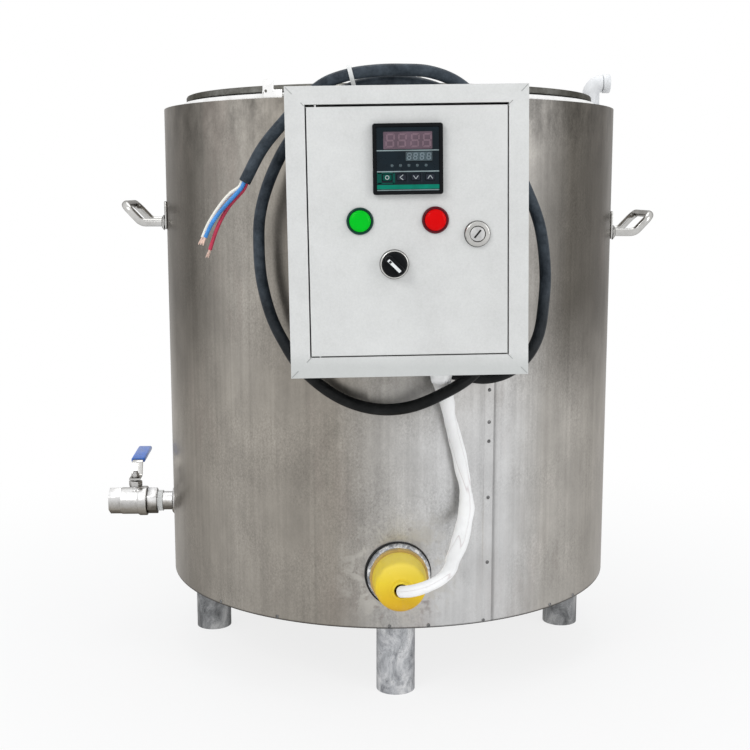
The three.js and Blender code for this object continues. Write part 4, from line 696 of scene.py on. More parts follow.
BOOT_ROOT = Vector((-78, -342, 592))
BOOT_SLOPE, BOOT_LENGTH, BOOT_GAP = math.radians(35), 34, 1.2
CABLE_RADIUS = 7
CABLE_START = BOOT_ROOT + Vector((0, math.sin(BOOT_SLOPE), -math.cos(BOOT_SLOPE))) * (BOOT_LENGTH + BOOT_GAP)
CABLE_ROUTE = [
    CABLE_START, (-78, -320.2, 560.9), (-78, -315.8, 552.3), (-78, -312.3, 540.5), (-77.5, -310.8, 527),
    (-76, -311, 509), (-69, -313.5, 489), (-54, -317.3, 466), (-28, -320, 446), (6, -321, 435),
    (40, -319, 429), (73, -317, 422.5), (105, -316, 418.5), (133, -315, 426.5), (154, -312, 444),
    (168, -306, 469), (175, -300, 511), (176, -298, 547), (168, -300, 600), (151, -304, 642),
    (133, -307, 676), (108, -309, 709), (78, -314, 739), (42, -319, 758), (0, -321, 766), (-40, -320, 763),
    (-78, -316, 748), (-109, -311, 722),
    (-135, -304, 689), (-155, -298, 648), (-165, -293, 612), (-167, -291, 579), (-164, -293, 535),
    (-152, -299, 490), (-137, -305, 460), (-119, -311, 433), (-83, -320, 403), (-50, -331, 389),
    (-18, -341, 385.2), (13.7, -351.3, 390.8), (46.3, -358.2, 405.4), (79.8, -348.2, 423.3), (104, -334, 446),
    (119, -325, 477), (127, -321, 523), (129, -319, 580), (127, -321, 640), (117, -326, 690), (95, -331, 735),
    (65, -334, 763), (33, -336, 775), (-1, -337, 777), (-30, -337, 776), (-58, -336, 772), (-87, -335, 762),
    (-112, -334, 742), (-134, -333, 719), (-159, -332, 689), (-180, -330, 651),
]
CORE_RADIUS = 2.3
CORE_ROUTES = {
    "core_white": [(-182.5, -328.6, 651.7), (-186.2, -328.5, 645.1), (-197, -328, 637.5),
                   (-211, -327.7, 621), (-223, -328, 602), (-229.5, -328.5, 587.5)],
    "core_blue": [(-180.2, -332.9, 650.7), (-183.6, -333.6, 644.1), (-197, -333.7, 629.5),
                  (-208.7, -334.2, 616.5), (-218.5, -334.7, 603), (-226, -335, 587.5)],
    "core_red": [(-178, -328.6, 649.3), (-181.3, -328.5, 642.6), (-197.5, -328.5, 624.5),
                 (-206, -329, 611.5), (-213.5, -329.5, 596), (-221.5, -330, 573)],
}
GLAND_MOUTH = BOX_MIDDLE @ BOX_LEAN @ Vector((43.6, 64.6, -161.2))
LEAD_ROUTE = [
    GLAND_MOUTH, (46.1, -352.2, 434.5), (46.5, -350.2, 428), (48, -345.2, 420), (50.6, -338.6, 411.5),
    (54.2, -335, 399), (57.8, -329.5, 384.5), (61.6, -324.5, 369), (65.1, -320.8, 353.7),
    (68.7, -318.7, 339.7), (72.8, -317.6, 323.5), (76.9, -317, 305.9), (80.4, -316.5, 287.1),
    (81.9, -316.4, 269), (81.8, -317.5, 255), (79.8, -322, 242.3), (75.5, -332.5, 230.5),
    (70.4, -348.2, 221.5), (65, -362, 214.5), (60.2, -376, 209.6), (56, -390, 206.2),
    (50, -402.5, 202.2), (40, -411.5, 197), (27.5, -414.8, 191.5), (14.6, -411.5, 186.8),
    (5, -402.5, 182.5), (1, -392.5, 179), (0.2, -385, 176.8), (0, -381.3, 175),
]
CUFF_ROUTE = [(43.2, -352.4, 447.4), (43.9, -352.4, 440), (46.1, -352, 432), (47.6, -347.5, 421.5)]

# Half the sleeve's width at lengths along the lead
LEAD_WIDTHS = [(0, 9.0), (20, 10.4), (36, 10.2), (50, 9.2), (72, 7.3), (85, 8.1), (107, 8.6), (143, 8.4),
               (167, 7.2), (178, 8.5), (191, 10.0), (203, 9.6), (216, 10.2), (238, 10.0), (262, 9.2),
               (290, 8.2), (330, 7.3), (400, 6.9)]


def eased(points, per_span):
    """A smooth line through the points of a route, evenly tense however far apart they are."""
    points = [Vector(point) for point in points]
    ends = [points[0] * 2 - points[1], *points, points[-1] * 2 - points[-2]]
    line = []
    for a, b, c, d in zip(ends, ends[1:], ends[2:], ends[3:]):
        before, span, after = (math.sqrt((q - p).length) for p, q in ((a, b), (b, c), (c, d)))
        leave = ((b - a) / before - (c - a) / (before + span) + (c - b) / span) * span
        arrive = ((c - b) / span - (d - b) / (span + after) + (d - c) / after) * span
        for i in range(per_span):
            t = i / per_span
            line.append(b * (2 * t ** 3 - 3 * t ** 2 + 1) + leave * (t ** 3 - 2 * t ** 2 + t)
                        + c * (3 * t ** 2 - 2 * t ** 3) + arrive * (t ** 3 - t ** 2))
    return [*line, points[-1]]


def round_cord(name, line, radius, finish, resolution):
    """A cord of one spline, round in section."""
    data = bpy.data.curves.new(name, "CURVE")
    data.dimensions = "3D"
    data.bevel_depth = radius * MILLIMETRE
    data.bevel_resolution = resolution
    data.use_fill_caps = True
    spline = data.splines.new("POLY")
    spline.points.add(len(line) - 1)
    for point, place in zip(spline.points, line):
        point.co = (*(TANK @ place), 1)
    spline.use_smooth = True
    return fitted(name, data, finish)


def sleeve(name, line, section, body=None):
    """A cloth tube: rings set square to a line and bridged. Section gives a ring's shape at a length."""
    sides = 36
    form = bmesh.new()
    layer = form.loops.layers.uv.new("UVMap")
    normal = Vector((0, -1, 0))
    along = [(b - a).normalized() for a, b in zip(line, line[1:])]
    facing = [along[0], *((a + b).normalized() for a, b in zip(along, along[1:])), along[-1]]
    rings, run, runs = [], 0.0, []
    for i, (place, ahead) in enumerate(zip(line, facing)):
        normal = (normal - ahead * normal.dot(ahead)).normalized()
        across = ahead.cross(normal)
        run += (line[i] - line[i - 1]).length if i else 0.0
        runs.append(run)
        ring = bmesh.ops.create_circle(form, cap_ends=False, segments=sides, radius=1)["verts"]
        stand = Matrix((across, normal, ahead)).transposed().to_4x4()
        for k, vert in enumerate(ring):
            x, y = section(run, FULL_TURN * k / sides)
            vert.co = Matrix.Translation(place) @ stand @ Vector((x, y, 0))
        rings.append(ring)
    for ring, after, start, end in zip(rings, rings[1:], runs, runs[1:]):
        for k in range(sides):
            n = (k + 1) % sides
            face = form.faces.new((ring[k], ring[n], after[n], after[k]))
            for loop, (u, v) in zip(face.loops, ((k, start), (k + 1, start), (k + 1, end), (k, end))):
                loop[layer].uv = (u / sides, v * MILLIMETRE)
    bmesh.ops.edgeloop_fill(form, edges=[e for e in form.edges if e.is_boundary])
    bmesh.ops.recalc_face_normals(form, faces=form.faces)
    return piece(form, name, "white_cloth", body, smooth=60)


def lead_width(run):
    for (a, wide), (b, wider) in zip(LEAD_WIDTHS, LEAD_WIDTHS[1:]):
        if a <= run <= b:
            share = (run - a) / (b - a)
            share = share * share * (3 - 2 * share)
            return wide + (wider - wide) * share


def lead_section(run, angle):
    """The sleeve is flattened, wider at its cuff and creased where it bends."""
    half = lead_width(run)
    fold = (0.45 * math.sin(run * 0.085 + 2.0 * math.sin(angle + run * 0.013))
            + 0.22 * math.sin(run * 0.19 + angle * 3))
    deep = min(half * 0.84, 6.4) * (0.80 + 0.20 * abs(math.sin(angle + 0.4 * math.sin(run * 0.04))))
    return (half + fold) * math.cos(angle), (deep + fold * 0.6) * math.sin(angle)


def cuff_section(run, angle):
    """The cuff, drawn up over the gland, is wide and flat, and its lower hem is turned over."""
    hem = 21 < run < 25
    half = 13.6 - 2.2 * min(1, run / 30) + (0.9 if hem else 0)
    deep = 11.6 - 2.6 * min(1, run / 30) + (0.7 if hem else 0)
    fold = 0.5 * math.sin(angle * 5 + run * 0.2) + 0.35 * math.sin(angle * 2 + run * 0.5)
    return (half + fold) * math.cos(angle), (deep + fold) * math.sin(angle)


def bare_tip(name, fan):
    """The stripped and twisted end of a core: six strands round a seventh."""
    end, before = Vector(CORE_ROUTES[name][-1]), Vector(CORE_ROUTES[name][-2])
    ahead = (end - before).normalized()
    strands = []
    for k in range(7):
        swing = FULL_TURN * k / 7 + fan
        out = Vector((math.cos(swing), math.sin(swing), 0)) * (0 if k == 6 else 0.95)
        reach = 8.6 + 1.3 * math.sin(k * 2.3 + fan * 5)
        lean = Vector((math.cos(swing + 1), math.sin(swing * 2), math.sin(swing))) * (0.08 + 0.08 * fan)
        strand = turned([(0.62, -1), (0.72, reach * 0.5), (0.62, reach - 0.5), (0, reach), (0, -1)], 10)
        stand = (ahead + lean).normalized().to_track_quat("Z", "Y").to_matrix().to_4x4()
        strands.append(moved(strand, Matrix.Translation(end + out) @ stand))
    return piece(together(*strands), name + "_tip", "bare_copper", "tank", smooth=50)


cable_line = eased(CABLE_ROUTE, 10)
cable = round_cord("power_cable", cable_line, CABLE_RADIUS, "cable_rubber", 7)
core_lines = [eased(route, 8) for route in CORE_ROUTES.values()]
cores = [round_cord(name, line, CORE_RADIUS, finish, 4)
         for name, line, finish in zip(CORE_ROUTES, core_lines, ("core_cream", "core_blue", "core_red"))]
tips = [bare_tip(name, fan) for name, fan in zip(CORE_ROUTES, (0.3, 0.5, 0.15))]
lead_line = eased(LEAD_ROUTE, 10)
lead = sleeve("heater_lead", lead_line, lead_section)
cuff = sleeve("lead_cuff", eased(CUFF_ROUTE, 8), cuff_section, "tank")


# Tank

SHELL_RADIUS, SHELL_SHEET = 312, 2
SHELL_BOTTOM, SHELL_TOP = 104, 750
SEAM_ANGLE = -69
HEATER_HEIGHT = 175
OUTLET_HEIGHT = 190
OUTLET_HOLE = 14.05
DRAIN_X = -165
FILLER_X, FILLER_Y = 294.8, 40


def on_side(angle, out, z):
    """A place at an angle round the tank, with its Y axis pointing inwards."""
    return turn(angle + 90, "Z") @ at(0, -out, z)


def outer_shell():
    wall = tube(SHELL_RADIUS - SHELL_SHEET, SHELL_RADIUS, SHELL_BOTTOM, SHELL_TOP, 180, 0.4)
    lap = moved(block(13, 1.4, 645.6, 0.6, 3), on_side(SEAM_ANGLE, 311.65, 427))
    made = piece(together(wall, lap), "outer_shell", "shell_steel", smooth=40)
    heater_hole = moved(tube(0, 39.3, -60, 60, 64), at(0, -SHELL_RADIUS, HEATER_HEIGHT) @ ALONG_Y)
    outlet_hole = moved(tube(0, OUTLET_HOLE, -60, 60, 48), at(-SHELL_RADIUS, 0, OUTLET_HEIGHT) @ ALONG_X)
    cut_from(made, heater_hole, outlet_hole)


def weld_ring():
    """The bead round the outlet pipe."""
    bead = turned([(14.2, -4), (20.6, -4), (20.8, -1), (19.4, 1.6), (16.8, 3.6), (14.2, 4.4)], 64, 0.9)
    laid(bead, (0, 1, 2), lambda angle: 1 + 0.035 * math.sin(angle * 17) + 0.025 * math.sin(angle * 5 + 1))
    stand = at(-SHELL_RADIUS, 0, OUTLET_HEIGHT) @ turn(-90, "Y")
    piece(moved(bead, stand), "weld_ring", "valve_steel", "tank", smooth=60)


def rivets():
    """Small heads up the seam's lap and round the bottom edge."""
    lap_proud = 0.35
    places = [(SEAM_ANGLE, SHELL_RADIUS + lap_proud, z) for z in (182, 265, 336, 360, 400)]
    places += [(angle, SHELL_RADIUS, 107.3) for angle in (-137, -119.1, -92, -83.1, -69.8, -49.8, -40.1)]
    heads = []
    for angle, out, z in places:
        head = turned([(0, 1.1), (1.2, 0.95), (2.1, 0.5), (2.5, -0.3), (0, -0.3)], 20)
        heads.append(moved(head, turn(angle, "Z") @ at(out, 0, z) @ turn(90, "Y")))
    piece(together(*heads), "rivets", "dark_steel", "tank", smooth=50)


def base_plate():
    profile = [(0, 106), (309.7, 106), (309.7, 128), (307.7, 128), (307.7, 108), (0, 108)]
    piece(turned(profile, 144, 0.4), "base_plate", "shell_steel")


def inner_pot():
    """Rolled wall with a flat floor welded into it and a turned-down rim."""
    profile = [(0, 215), (268.5, 215), (270, 216.5), (270, 756), (284, 756), (284, 750.3), (286, 750.3),
               (286, 757), (285, 758), (268, 758), (268, 219.2), (267.2, 217.6), (265.8, 217), (0, 217)]
    made = piece(turned(profile, 180, 0.4), "inner_pot", "rim_steel", smooth=40)
    cut_from(made, moved(tube(0, OUTLET_HOLE, -20, 20, 32), at(DRAIN_X, 0, 216)))


def shoulder_ring():
    profile = [(270.3, 748), (307.7, 748), (307.7, 736), (309.7, 736), (309.7, 750), (270.3, 750)]
    made = piece(turned(profile, 144, 0.4), "shoulder_ring", "shell_steel")
    cut_from(made, moved(tube(0, 10.3, -20, 20, 32), at(FILLER_X, FILLER_Y, 749)))


def leg(name, x, y):
    """A piece of pipe with a weld bead under the tank's floor."""
    bead = turned([(24.6, 100.5), (27.6, 102.4), (29.4, 105.5), (24.6, 105.5)], 64, 0.8)
    laid(bead, (0, 1), lambda angle: 1 + 0.02 * math.sin(angle * 11 + x) + 0.015 * math.sin(angle * 23))
    form = together(tube(22.5, 25, 0, 105.7, 64, 0.5), bead)
    piece(moved(form, at(x, y, 0)), name, "pipe_steel", smooth=50)


def side_handle(name, arm_z, facing):
    """A bent bar on two pads, each arm with its weld."""
    arm_y, bar_out, bar_rise = 50, 366.5, 25
    wall = math.sqrt(SHELL_RADIUS ** 2 - arm_y ** 2)
    corners = [(wall + 1.5, -arm_y, arm_z), (343, -arm_y, arm_z), (bar_out, -arm_y, arm_z + bar_rise),
               (bar_out, arm_y, arm_z + bar_rise), (343, arm_y, arm_z), (wall + 1.5, arm_y, arm_z)]
    parts = [bent(oval(9, 11, 28), corners, 14, side=(0, 0, 1), steps=8)]
    for side in (-1, 1):
        angle = side * math.degrees(math.asin(arm_y / SHELL_RADIUS))
        pad = moved(rounded_plate(28, 38, 3, 8, 0.7), on_side(angle, SHELL_RADIUS + 3.2, arm_z + 10))
        bead = turned([(3, 0), (8.6, 0), (7.4, 1.6), (5.2, 3.4), (3, 3.6)], 32, 0.5)
        laid(bead, (0,), lambda angle: 1.25 + 0.05 * math.sin(angle * 9))
        parts += [pad, moved(bead, at(wall + 3.6, side * arm_y, arm_z) @ turn(90, "Y"))]
    piece(moved(together(*parts), turn(facing, "Z")), name, "bright_steel", smooth=45)


def filler_elbow():
    """A moulded elbow with a socket at its mouth, on a riser through the shoulder ring."""
    x, y, top = FILLER_X, FILLER_Y, 793

    def elbow(width, start, end):
        return bent(oval(width, width, 40), [(x, y, start), (x, y, top), (end, y, top)], 15, (0, 1, 0), 14)

    socket = moved(turned([(9, 0), (13, 0), (13.3, 0.8), (13.3, 9.2), (12.8, 10), (9, 10)], 48, 0.3),
                   at(311.2, y, top) @ ALONG_X)
    foot = moved(turned([(9, 0), (13.1, 0), (13.1, 7), (12.2, 8.6), (9, 8.6)], 48, 0.3), at(x, y, 750.3))
    riser = moved(tube(9, 10, 0, 30, 40, 0.2), at(x, y, 728))
    form = together(elbow(24.6, 756, 318), socket, foot, riser)
    cut_from(piece(form, "filler_elbow", "elbow_white", smooth=50), elbow(19.4, 726, 323))


def hanging_tab():
    """A bright tab with a hole, welded to the shoulder for a chain or a hook."""
    foot = moved(rounded_plate(28, 10, 1.6, 1.2, 0.3), at(0, 0, 755.2))
    tongue = moved(rounded_plate(15, 16, 1.6, 3, 0.3), at(-6, 0, 765))
    stand = TANK @ on_side(-119.8, 303, 0)
    made = piece(together(foot, tongue), "hanging_tab", "rim_steel", "tank", place=stand)
    cut_from(made, moved(tube(0, 2, -6, 6, 24), at(-9, 0, 759) @ ALONG_Y), place=stand)


outer_shell()
weld_ring()
rivets()
base_plate()
inner_pot()
shoulder_ring()
leg("leg_front", 0, -246)
leg("leg_back", 0, 246)
leg("leg_left", -259, 0)
leg("leg_right", 259, 0)
side_handle("handle_right", 583, 0)
side_handle("handle_left", 597, 180)
filler_elbow()
hanging_tab()


# Lid

def lid():
    """The sheet with its turned edge, and the seal under it, whose black also stands for the shadow in the
    gap under the lid's edge.
    """
    # Painted shade: the black seal fills the gap under the lid's edge where shadow falls
    piece(tube(271, 280, 758.2, 759.4, 144, 0.3), "lid_gasket", "seal_rubber")
    profile = [(278.6, 759.7), (280.6, 759.7), (281.4, 760.4), (281.4, 765), (280.4, 767), (278.4, 767.8),
               (244, 767.8), (240, 768), (0, 768), (0, 766), (240, 766), (244, 765.8), (278, 765.8)]
    piece(turned(profile, 180, 0.3), "lid", "lid_steel", smooth=40)


def lid_handle():
    """A bent strip on four rivets."""
    foot, top = 770.3, 806.3
    bar = bent(strip_section(4, 24, 1.0), [(-75, 0, foot), (-53, 0, foot), (-41, 0, top), (41, 0, top),
                                           (53, 0, foot), (75, 0, foot)], 7, side=(0, 1, 0))
    heads = [moved(turned([(0, 2.2), (2.4, 1.8), (3.6, 0.8), (3.9, 0), (0, 0)], 24), at(x, y, foot + 2))
             for x in (-66, 66) for y in (-6, 6)]
    piece(together(bar, *heads), "lid_handle", "bright_steel", smooth=45)


lid()
lid_handle()


# Outlet and valve

VALVE_X = -370
ON_OUTLET = at(0, 0, OUTLET_HEIGHT) @ ALONG_X


def outlet_bend(width, start, top):
    """Pipe from the valve to the middle of the tank and up to the pot's drain."""
    corners = [(start, 0, OUTLET_HEIGHT), (DRAIN_X, 0, OUTLET_HEIGHT), (DRAIN_X, 0, top)]
    return bent(oval(width, width, 40), corners, 25, side=(0, 1, 0))


def outlet_pipe():
    """The pipe, with white tape round its thread."""
    made = piece(outlet_bend(26.9, -349, 217.3), "outlet_pipe", "nipple_steel", smooth=50)
    cut_from(made, outlet_bend(21.6, -352, 220))
    tape = [(14.1, 0), (15.25, 0.2), (15.1, 2.2), (15.3, 4.4), (15.05, 6.3), (15.2, 7.8), (14.1, 8)]
    stand = ON_OUTLET @ at(0, 0, -337.7)
    piece(moved(turned(tape, 48, 0.3), stand), "thread_tape", "white_plastic", smooth=60)


def valve_body():
    """A six-sided mouth, a barrel and the boss of the stem, with the bore turned out of them."""
    mouth = hexagon(34, 17.4, 0.9, at(0, 0, -408))
    barrel = turned([(9.5, -391.2), (18.9, -391.2), (19.5, -389), (19.5, -366.5), (20.6, -365.2),
                     (21.5, -363.5), (21.5, -353.6), (20.9, -353), (16, -353), (16, -386),
                     (9.5, -386)], 72, 0.6)
    boss = moved(turned([(4.4, 13), (9.6, 13), (9, 18), (9, 21.6), (8.6, 22), (4.4, 22)], 40, 0.3),
                 at(VALVE_X, 0, OUTLET_HEIGHT))
    form = together(moved(together(mouth, barrel), ON_OUTLET), boss)
    made = piece(form, "valve_body", "valve_steel", smooth=35)
    bore = [(0, -410), (14.6, -410), (13.45, -406.4), (13.45, -391), (9.5, -391), (9.5, -380), (0, -380)]
    cut_from(made, moved(turned(bore, 56), ON_OUTLET))


def valve_end_cap():
    """A six-sided cap that closes the body on the pipe's side."""
    form = hexagon(34, 14.7, 0.9, ON_OUTLET @ at(0, 0, -352.7))
    made = piece(form, "valve_end_cap", "nipple_steel", smooth=35)
    cut_from(made, moved(tube(0, OUTLET_HOLE, -360, -330, 48), ON_OUTLET))


def valve_nuts():
    """The gland nut on the boss, and the nut that holds the lever."""
    piece(hexagon(17, 7.7, 0.6, at(VALVE_X, 0, 212.3)), "valve_gland_nut", "valve_steel", smooth=35)
    piece(hexagon(10, 5, 0.5, at(VALVE_X, 0, 225.8)), "lever_nut", "valve_steel", smooth=35)


def valve_lever():
    """A cranked strip with a moulded sleeve over its end."""
    flat, raised = 224.25, 244.2
    bar = bent(strip_section(2.5, 16, 0.7), [(VALVE_X, -10, flat), (VALVE_X, 13, flat), (VALVE_X, 22, raised),
                                             (VALVE_X, 97, raised + 3.6)], 7, side=(1, 0, 0))
    piece(bar, "valve_lever", "bright_steel", smooth=40)
    slope = math.atan2(3.6, 75)
    start = Vector((VALVE_X, 27, raised + 5 * math.tan(slope)))
    end = start + Vector((0, math.cos(slope), math.sin(slope))) * 72.5
    sleeved = bent(strip_section(6.5, 20.2, 2.2), [start, end], 1, side=(1, 0, 0))
    piece(softened(sleeved, 1.4, 3, 60), "lever_sleeve", "blue_plastic", smooth=50)


def valve_ball():
    """Slightly smaller than its solid, so that its facets clear the seats."""
    middle = at(VALVE_X, 0, OUTLET_HEIGHT)
    form = moved(from_cad("valve_ball", TANK, 0.2), middle @ Matrix.Scale(0.965, 4) @ middle.inverted())
    piece(form, "valve_ball", "bright_steel")


outlet_pipe()
valve_body()
valve_end_cap()
valve_nuts()
valve_lever()
valve_ball()
kept("valve_stem", "valve_steel")
kept("valve_seat_outer", "white_plastic")
kept("valve_seat_inner", "white_plastic")


# Heater

def heater():
    """A plated socket in the shell, a dark ring set off-centre behind it as painted shadow, and a cup-shaped
    cap that the lead goes into.
    """
    socket = turned([(29, 0), (36.3, 0), (39, 2.8), (39, 25), (29, 25)], 72, 0.6)
    piece(moved(socket, at(0, -323, HEATER_HEIGHT) @ ALONG_Y), "heater_socket", "worn_plating", smooth=40)
    # Painted shadow: a black ring, shifted left and down behind the socket, shows as a dark crescent
    shadow_ring = turned([(38.9, 0.4), (41.0, 0), (41.4, 5), (38.9, 5)], 72, 0.3)
    stand = at(-0.7, -315, HEATER_HEIGHT - 0.6) @ ALONG_Y
    piece(moved(shadow_ring, stand), "socket_washer", "seal_rubber", "tank", smooth=50)
    profile = [(30.5, 0), (33, 0.5), (33, 8), (32.5, 16), (31.3, 26), (30.6, 32), (29.9, 34.8),
               (28.0, 36.8), (25.2, 37.7), (16, 38.4), (13.6, 39), (11.9, 40.2), (11.4, 42), (11, 48.8),
               (10.4, 49.5), (8.5, 49.5), (8.5, 35.8), (25, 34.6), (27.8, 31), (29.8, 12), (30.4, 6)]
    cap = moved(turned(profile, 96, 0.5, 3), at(0, -330.6, HEATER_HEIGHT) @ turn(90, "X"))
    piece(cap, "heater_cap", "yellow_plastic", smooth=40)


heater()
kept("heater_element", "brass")


# Control box with its fittings, and what holds it and leads into it

kept("box_case", "box_paint", 0.7, BOX, weigh=True)
kept("box_door", "box_paint", 0.6, BOX, weigh=True)
for finish, nodes in (("cast_steel", ("hinge_pin_upper", "hinge_pin_lower", "mounting_plate", "lock_cam")),
                      ("black_plastic", ("contactor", "controller_case")),
                      ("dark_face", ("controller_face",)), ("teal_field", ("key_set",)),
                      ("key_cell", ("key_shift", "key_down", "key_up"))):
    for node in nodes:
        kept(node, finish, 0.25, BOX, weigh=True)
kept("lead_gland", "black_plastic", 0.3, BOX)
kept("cable_boot", "seal_rubber", 0.3)
kept("cable_tie", "white_plastic", 0.3)
kept("bracket_upper", "pipe_steel", 0.5, weigh=True)
kept("bracket_lower", "pipe_steel", 0.5, weigh=True)

DOOR_FRONT = -75
LAMP_HEIGHT = 13
SWITCH = (-15, -32)
LOCK = (71.5, -2)


def on_door(form, x, z):
    """Forms turned about Z come to stand on the door's face, their foot towards the tank."""
    return moved(form, at(x, DOOR_FRONT, z) @ turn(90, "X"))


def laid_flat(form, lean, x, y, z):
    """A plate across X and Z, laid flat on a turned form and leaning by an angle round it."""
    return moved(form, turn(lean, "Z") @ at(x, y, z) @ turn(90, "X"))


def fitting(form, place, name, finish, body=None, smooth=32):
    piece(on_door(form, *place), name, finish, body, BOX, smooth)


def corner_seams():
    """Faint mitre lines where the border's folded strips meet."""
    half_width, half_height = 124, 149
    seams = []
    for side in (-1, 1):
        for level in (-1, 1):
            for near, run in ((3.5, 9.5), (18.5, 8.0)):
                middle = at(side * (half_width - near), level * (half_height - near), 0.02)
                line = moved(block(0.55, run, 0.5), middle @ turn(side * level * -45, "Z"))
                seams.append(on_door(line, 0, 0))
    piece(together(*seams), "corner_seams", "box_seam", BODY_OF["box_case"], BOX)


def seating_rings():
    """Thin dark rings between the door and the chromed fittings: painted shade in the gaps."""
    rings = [on_door(tube(9.6, outer, 0.02, 0.28, 64), *place)
             for place, outer in ((LOCK, 13.7), (SWITCH, 15.4))]
    piece(together(*rings), "seating_rings", "dark_gap", "door", BOX)


def lamp(colour, x):
    """A round bezel with a domed lens in it."""
    place = (x, LAMP_HEIGHT)
    bezel = [(0, -38), (11, -38), (11, 0.3), (14, 0.3), (14, 1.6), (12.8, 2.8), (11.5, 2.8), (11.5, 1.1),
             (0, 1.1)]
    fitting(turned(bezel, 64, 0.3), place, "lamp_" + colour, colour + "_plastic")
    dome = [(0, 7), (5, 6.9), (8, 6.6), (9.6, 6.0), (10.6, 5.0), (11.1, 3.8), (11.2, 2.2), (11.2, 1.4),
            (0, 1.4)]
    fitting(turned(dome, 64), place, "lens_" + colour, colour + "_lens", smooth=50)


def selector():
    """A chromed ring with its contact block inside the door, and a knob with a grip and a pointer."""
    lean = 45
    ring = [(0, 1.5), (13, 1.5), (13, 4.3), (14, 4.3), (15, 3.3), (15, 0.3), (11, 0.3), (11, -14), (0, -14)]
    contacts = moved(block(29, 29, 28, 0.8), at(0, 0, -28))
    fitting(together(turned(ring, 72, 0.4), contacts), SWITCH, "switch_body", "bright_steel")
    disc = turned([(0, 1.9), (12.6, 1.9), (12.6, 8.4), (11.1, 9.9), (0, 9.9)], 72, 0.5)
    grip = laid_flat(rounded_plate(8, 24, 7.1, 3.9, 1.0), lean, 0, 0, 9.6)
    fitting(together(disc, grip), SWITCH, "switch_knob", "black_plastic")
    pointer = laid_flat(rounded_plate(3.2, 17.5, 0.3, 0.5, 0.1), lean, -1.2, 0, 16.55)
    fitting(pointer, SWITCH, "switch_pointer", "white_print", "knob")
    spot = laid_flat(rounded_plate(2.5, 2.5, 0.12, 0.3), lean, -1.2, 5.6, 16.76)
    fitting(spot, SWITCH, "switch_spot", "black_plastic", "knob")


def cam_lock():
    """A chromed barrel and the plug that turns in it, with the slot for the key."""
    slot_lean = -40
    barrel = [(8.4, 4.3), (12, 4.3), (13.2, 3.1), (13.2, 0.3), (9.5, 0.3), (9.5, -14), (8.4, -14)]
    fitting(turned(barrel, 64, 0.4), LOCK, "lock_barrel", "bright_steel")
    plug = turned([(0, 3.6), (7.2, 3.6), (7.95, 2.9), (7.95, -19), (0, -19)], 56, 0.2)
    made = piece(on_door(plug, *LOCK), "lock_plug", "cast_steel", place=BOX)
    slot = moved(block(2.0, 10.5, 4, 0.2), turn(slot_lean, "Z") @ at(0, 0, 3.8))
    cut_from(made, on_door(slot, *LOCK), place=BOX)
    # Painted shade: a dark plate at the bottom of the shallow slot stands for the darkness of a deep keyhole
    key_way = moved(block(1.9, 10.3, 0.4), turn(slot_lean, "Z") @ at(0, 0, 1.9))
    fitting(key_way, LOCK, "key_way", "dark_gap", "lock")


corner_seams()
seating_rings()
lamp("green", -50)
lamp("red", 28)
selector()
cam_lock()


# Controller: windows, unlit digits and prints on its face, and a mark on each key

FACE_FRONT, KEY_FRONT = -80.5, -81.5
FACE_MIDDLE, KEY_MIDDLE = 75.5, 57


def printed(x, z, width, height, proud=0.1, corner=0.3, thick=0.3):
    """A thin printed or moulded area on the controller's face, its middle given from the face's middle."""
    form = rounded_plate(width, height, thick, min(corner, width / 2.1, height / 2.1), 0.0, 3)
    return moved(form, at(x, FACE_FRONT - proud, FACE_MIDDLE + z))


def digit(x, z, width, height, bar):
    """The seven unlit bars of one digit, leaning a little."""
    bars = [(x + level * height * 0.06, z + level * (height - bar) / 2, width - bar * 1.3, bar)
            for level in (1, 0, -1)]
    bars += [(x + side * (width - bar) / 2 + level * height * 0.03, z + level * height / 4, bar,
              height / 2 - bar * 1.1) for side in (-1, 1) for level in (1, -1)]
    return [printed(*one, 0.22, 0.25, 0.12) for one in bars]


def digits(places, *sizes):
    """A row of digits."""
    return [bar for x in places for bar in digit(x, *sizes)]


def dot(x):
    """A small round lens under the windows."""
    form = turned([(0, 0.42), (1.0, 0.34), (1.5, 0), (1.5, -0.2), (0, -0.2)], 24)
    return moved(form, at(x, FACE_FRONT, FACE_MIDDLE - 6.6) @ turn(90, "X"))


def controller_prints():
    for name, finish, forms in (
            ("window_upper", "window_pink", [printed(0, 18.7, 50, 17.5, 0.12, 0.8)]),
            ("digits_upper", "digit_pink", digits((-18, -5.8, 7.4, 19.6), 18.7, 9, 14, 1.7)),
            ("window_lower", "window_grey", [printed(11.3, 2.6, 27.2, 9.2, 0.12, 0.6)]),
            ("digits_lower", "digit_grey", digits((1.4, 7.7, 14.5, 21.4), 2.6, 4.3, 7, 0.95)),
            ("print_lines", "silver_print", [printed(0, 8.6, 64, 1.1), printed(0, -12.6, 64, 1.1),
                                             printed(0, -31.5, 64, 0.9)]),
            ("print_teal", "teal_print", [printed(0, -28.2, 64, 4.4)]),
            ("print_field", "teal_field", [printed(-29.6, -19, 4.8, 11.6), printed(-14.6, -19, 2.4, 11.6),
                                           printed(-22.5, -13.9, 17, 1.4), printed(-22.5, -24.4, 17, 1.2)]),
            ("key_cells", "key_cell", [printed(-0.4, -19, 0.9, 9.6), printed(14, -19, 0.9, 9.6)]),
            ("dots", "window_grey", [dot(x) for x in (-16.4, -7.7, 0.9, 9.5, 18.5)])):
        piece(together(*forms), name, finish, "door", BOX, smooth=50)


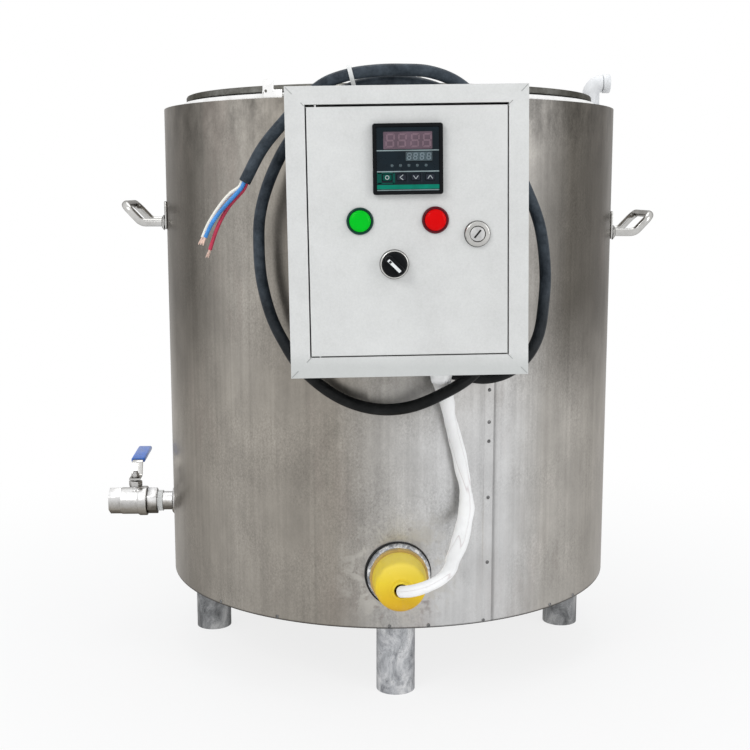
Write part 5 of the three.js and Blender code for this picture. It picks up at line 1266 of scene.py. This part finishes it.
def key_marks():
    """An arrow of two strokes on three keys, and a ring on the first."""
    for key, x, lean in (("key_shift", -6.8, -90), ("key_down", 7.9, 180), ("key_up", 22.6, 0)):
        middle = at(x, KEY_FRONT, KEY_MIDDLE) @ turn(lean, "Y")
        strokes = [moved(rounded_plate(0.62, 4.2, 0.22, 0.28, 0.0, 3),
                         middle @ at(side * 1.3, 0, 0) @ turn(side * -36, "Y")) for side in (-1, 1)]
        piece(together(*strokes), key + "_mark", "key_print", BODY_OF[key], BOX)
    ring = moved(tube(1.5, 2.15, -0.1, 0.12, 32), at(-21.5, KEY_FRONT + 0.1, KEY_MIDDLE) @ turn(90, "X"))
    piece(ring, "key_set_mark", "key_print", BODY_OF["key_set"], BOX)


controller_prints()
key_marks()


# Floor, light and background

def seen_directly(tree):
    """1 for what the camera sees, also in gloss and through glass, and 0 for soft light."""
    rays = wired(tree, "LightPath")
    seen = wired(tree, "Math", rays["Is Camera Ray"], rays["Is Glossy Ray"], operation="MAXIMUM")[0]
    return wired(tree, "Math", seen, rays["Is Transmission Ray"], operation="MAXIMUM")[0]


def floor():
    """It takes the object's shadow, and fades to white away from it for the camera."""
    form = bmesh.new()
    bmesh.ops.create_grid(form, x_segments=1, y_segments=1, size=6)
    made = linked("floor", mesh_of(form, "floor"))
    material = bpy.data.materials.new("floor")
    material.use_nodes = True
    tree = material.node_tree
    tree.nodes.clear()
    spot = wired(tree, "TexCoord")["Object"]
    away = wired(tree, "VectorMath", spot, operation="LENGTH")["Value"]
    fade = wired(tree, "MapRange", away, 0.45, 1.25, 0.80, 1.0, interpolation_type="SMOOTHSTEP")[0]
    share = wired(tree, "Math", fade, seen_directly(tree), operation="MULTIPLY")[0]
    pale = wired(tree, "BsdfDiffuse", grey(0.85))[0]
    white = wired(tree, "Emission")[0]
    mixed = wired(tree, "MixShader", share, pale, white)[0]
    wired(tree, "OutputMaterial", mixed)
    made.data.materials.append(material)


def background():
    """White where it is seen directly, and a weaker, cooler light on the object."""
    world = bpy.data.worlds.new("studio")
    bpy.context.scene.world = world
    world.use_nodes = True
    tree = world.node_tree
    tree.nodes.clear()
    soft = wired(tree, "Background", (0.95, 0.97, 1), 0.75)[0]
    white = wired(tree, "Background", grey(1))[0]
    mixed = wired(tree, "MixShader", seen_directly(tree), soft, white)[0]
    wired(tree, "OutputWorld", mixed)


def lamp_panel(name, place, target, width, height, power):
    data = bpy.data.lights.new(name, "AREA")
    data.shape = "RECTANGLE"
    data.size, data.size_y = width, height
    data.energy = power
    aimed(linked(name, data), place, Vector(target) - Vector(place))


floor()
background()
lamp_panel("key", (-1.6, -2.2, 2.2), (0, 0, 0.45), 1.2, 1.2, 26)
lamp_panel("fill", (2.0, -1.8, 1.4), (0, 0, 0.4), 1.0, 1.8, 16)
lamp_panel("top", (0, 0.4, 2.6), (0, 0, 0.5), 1.6, 1.6, 14)
bpy.context.scene.view_settings.view_transform = "Standard"
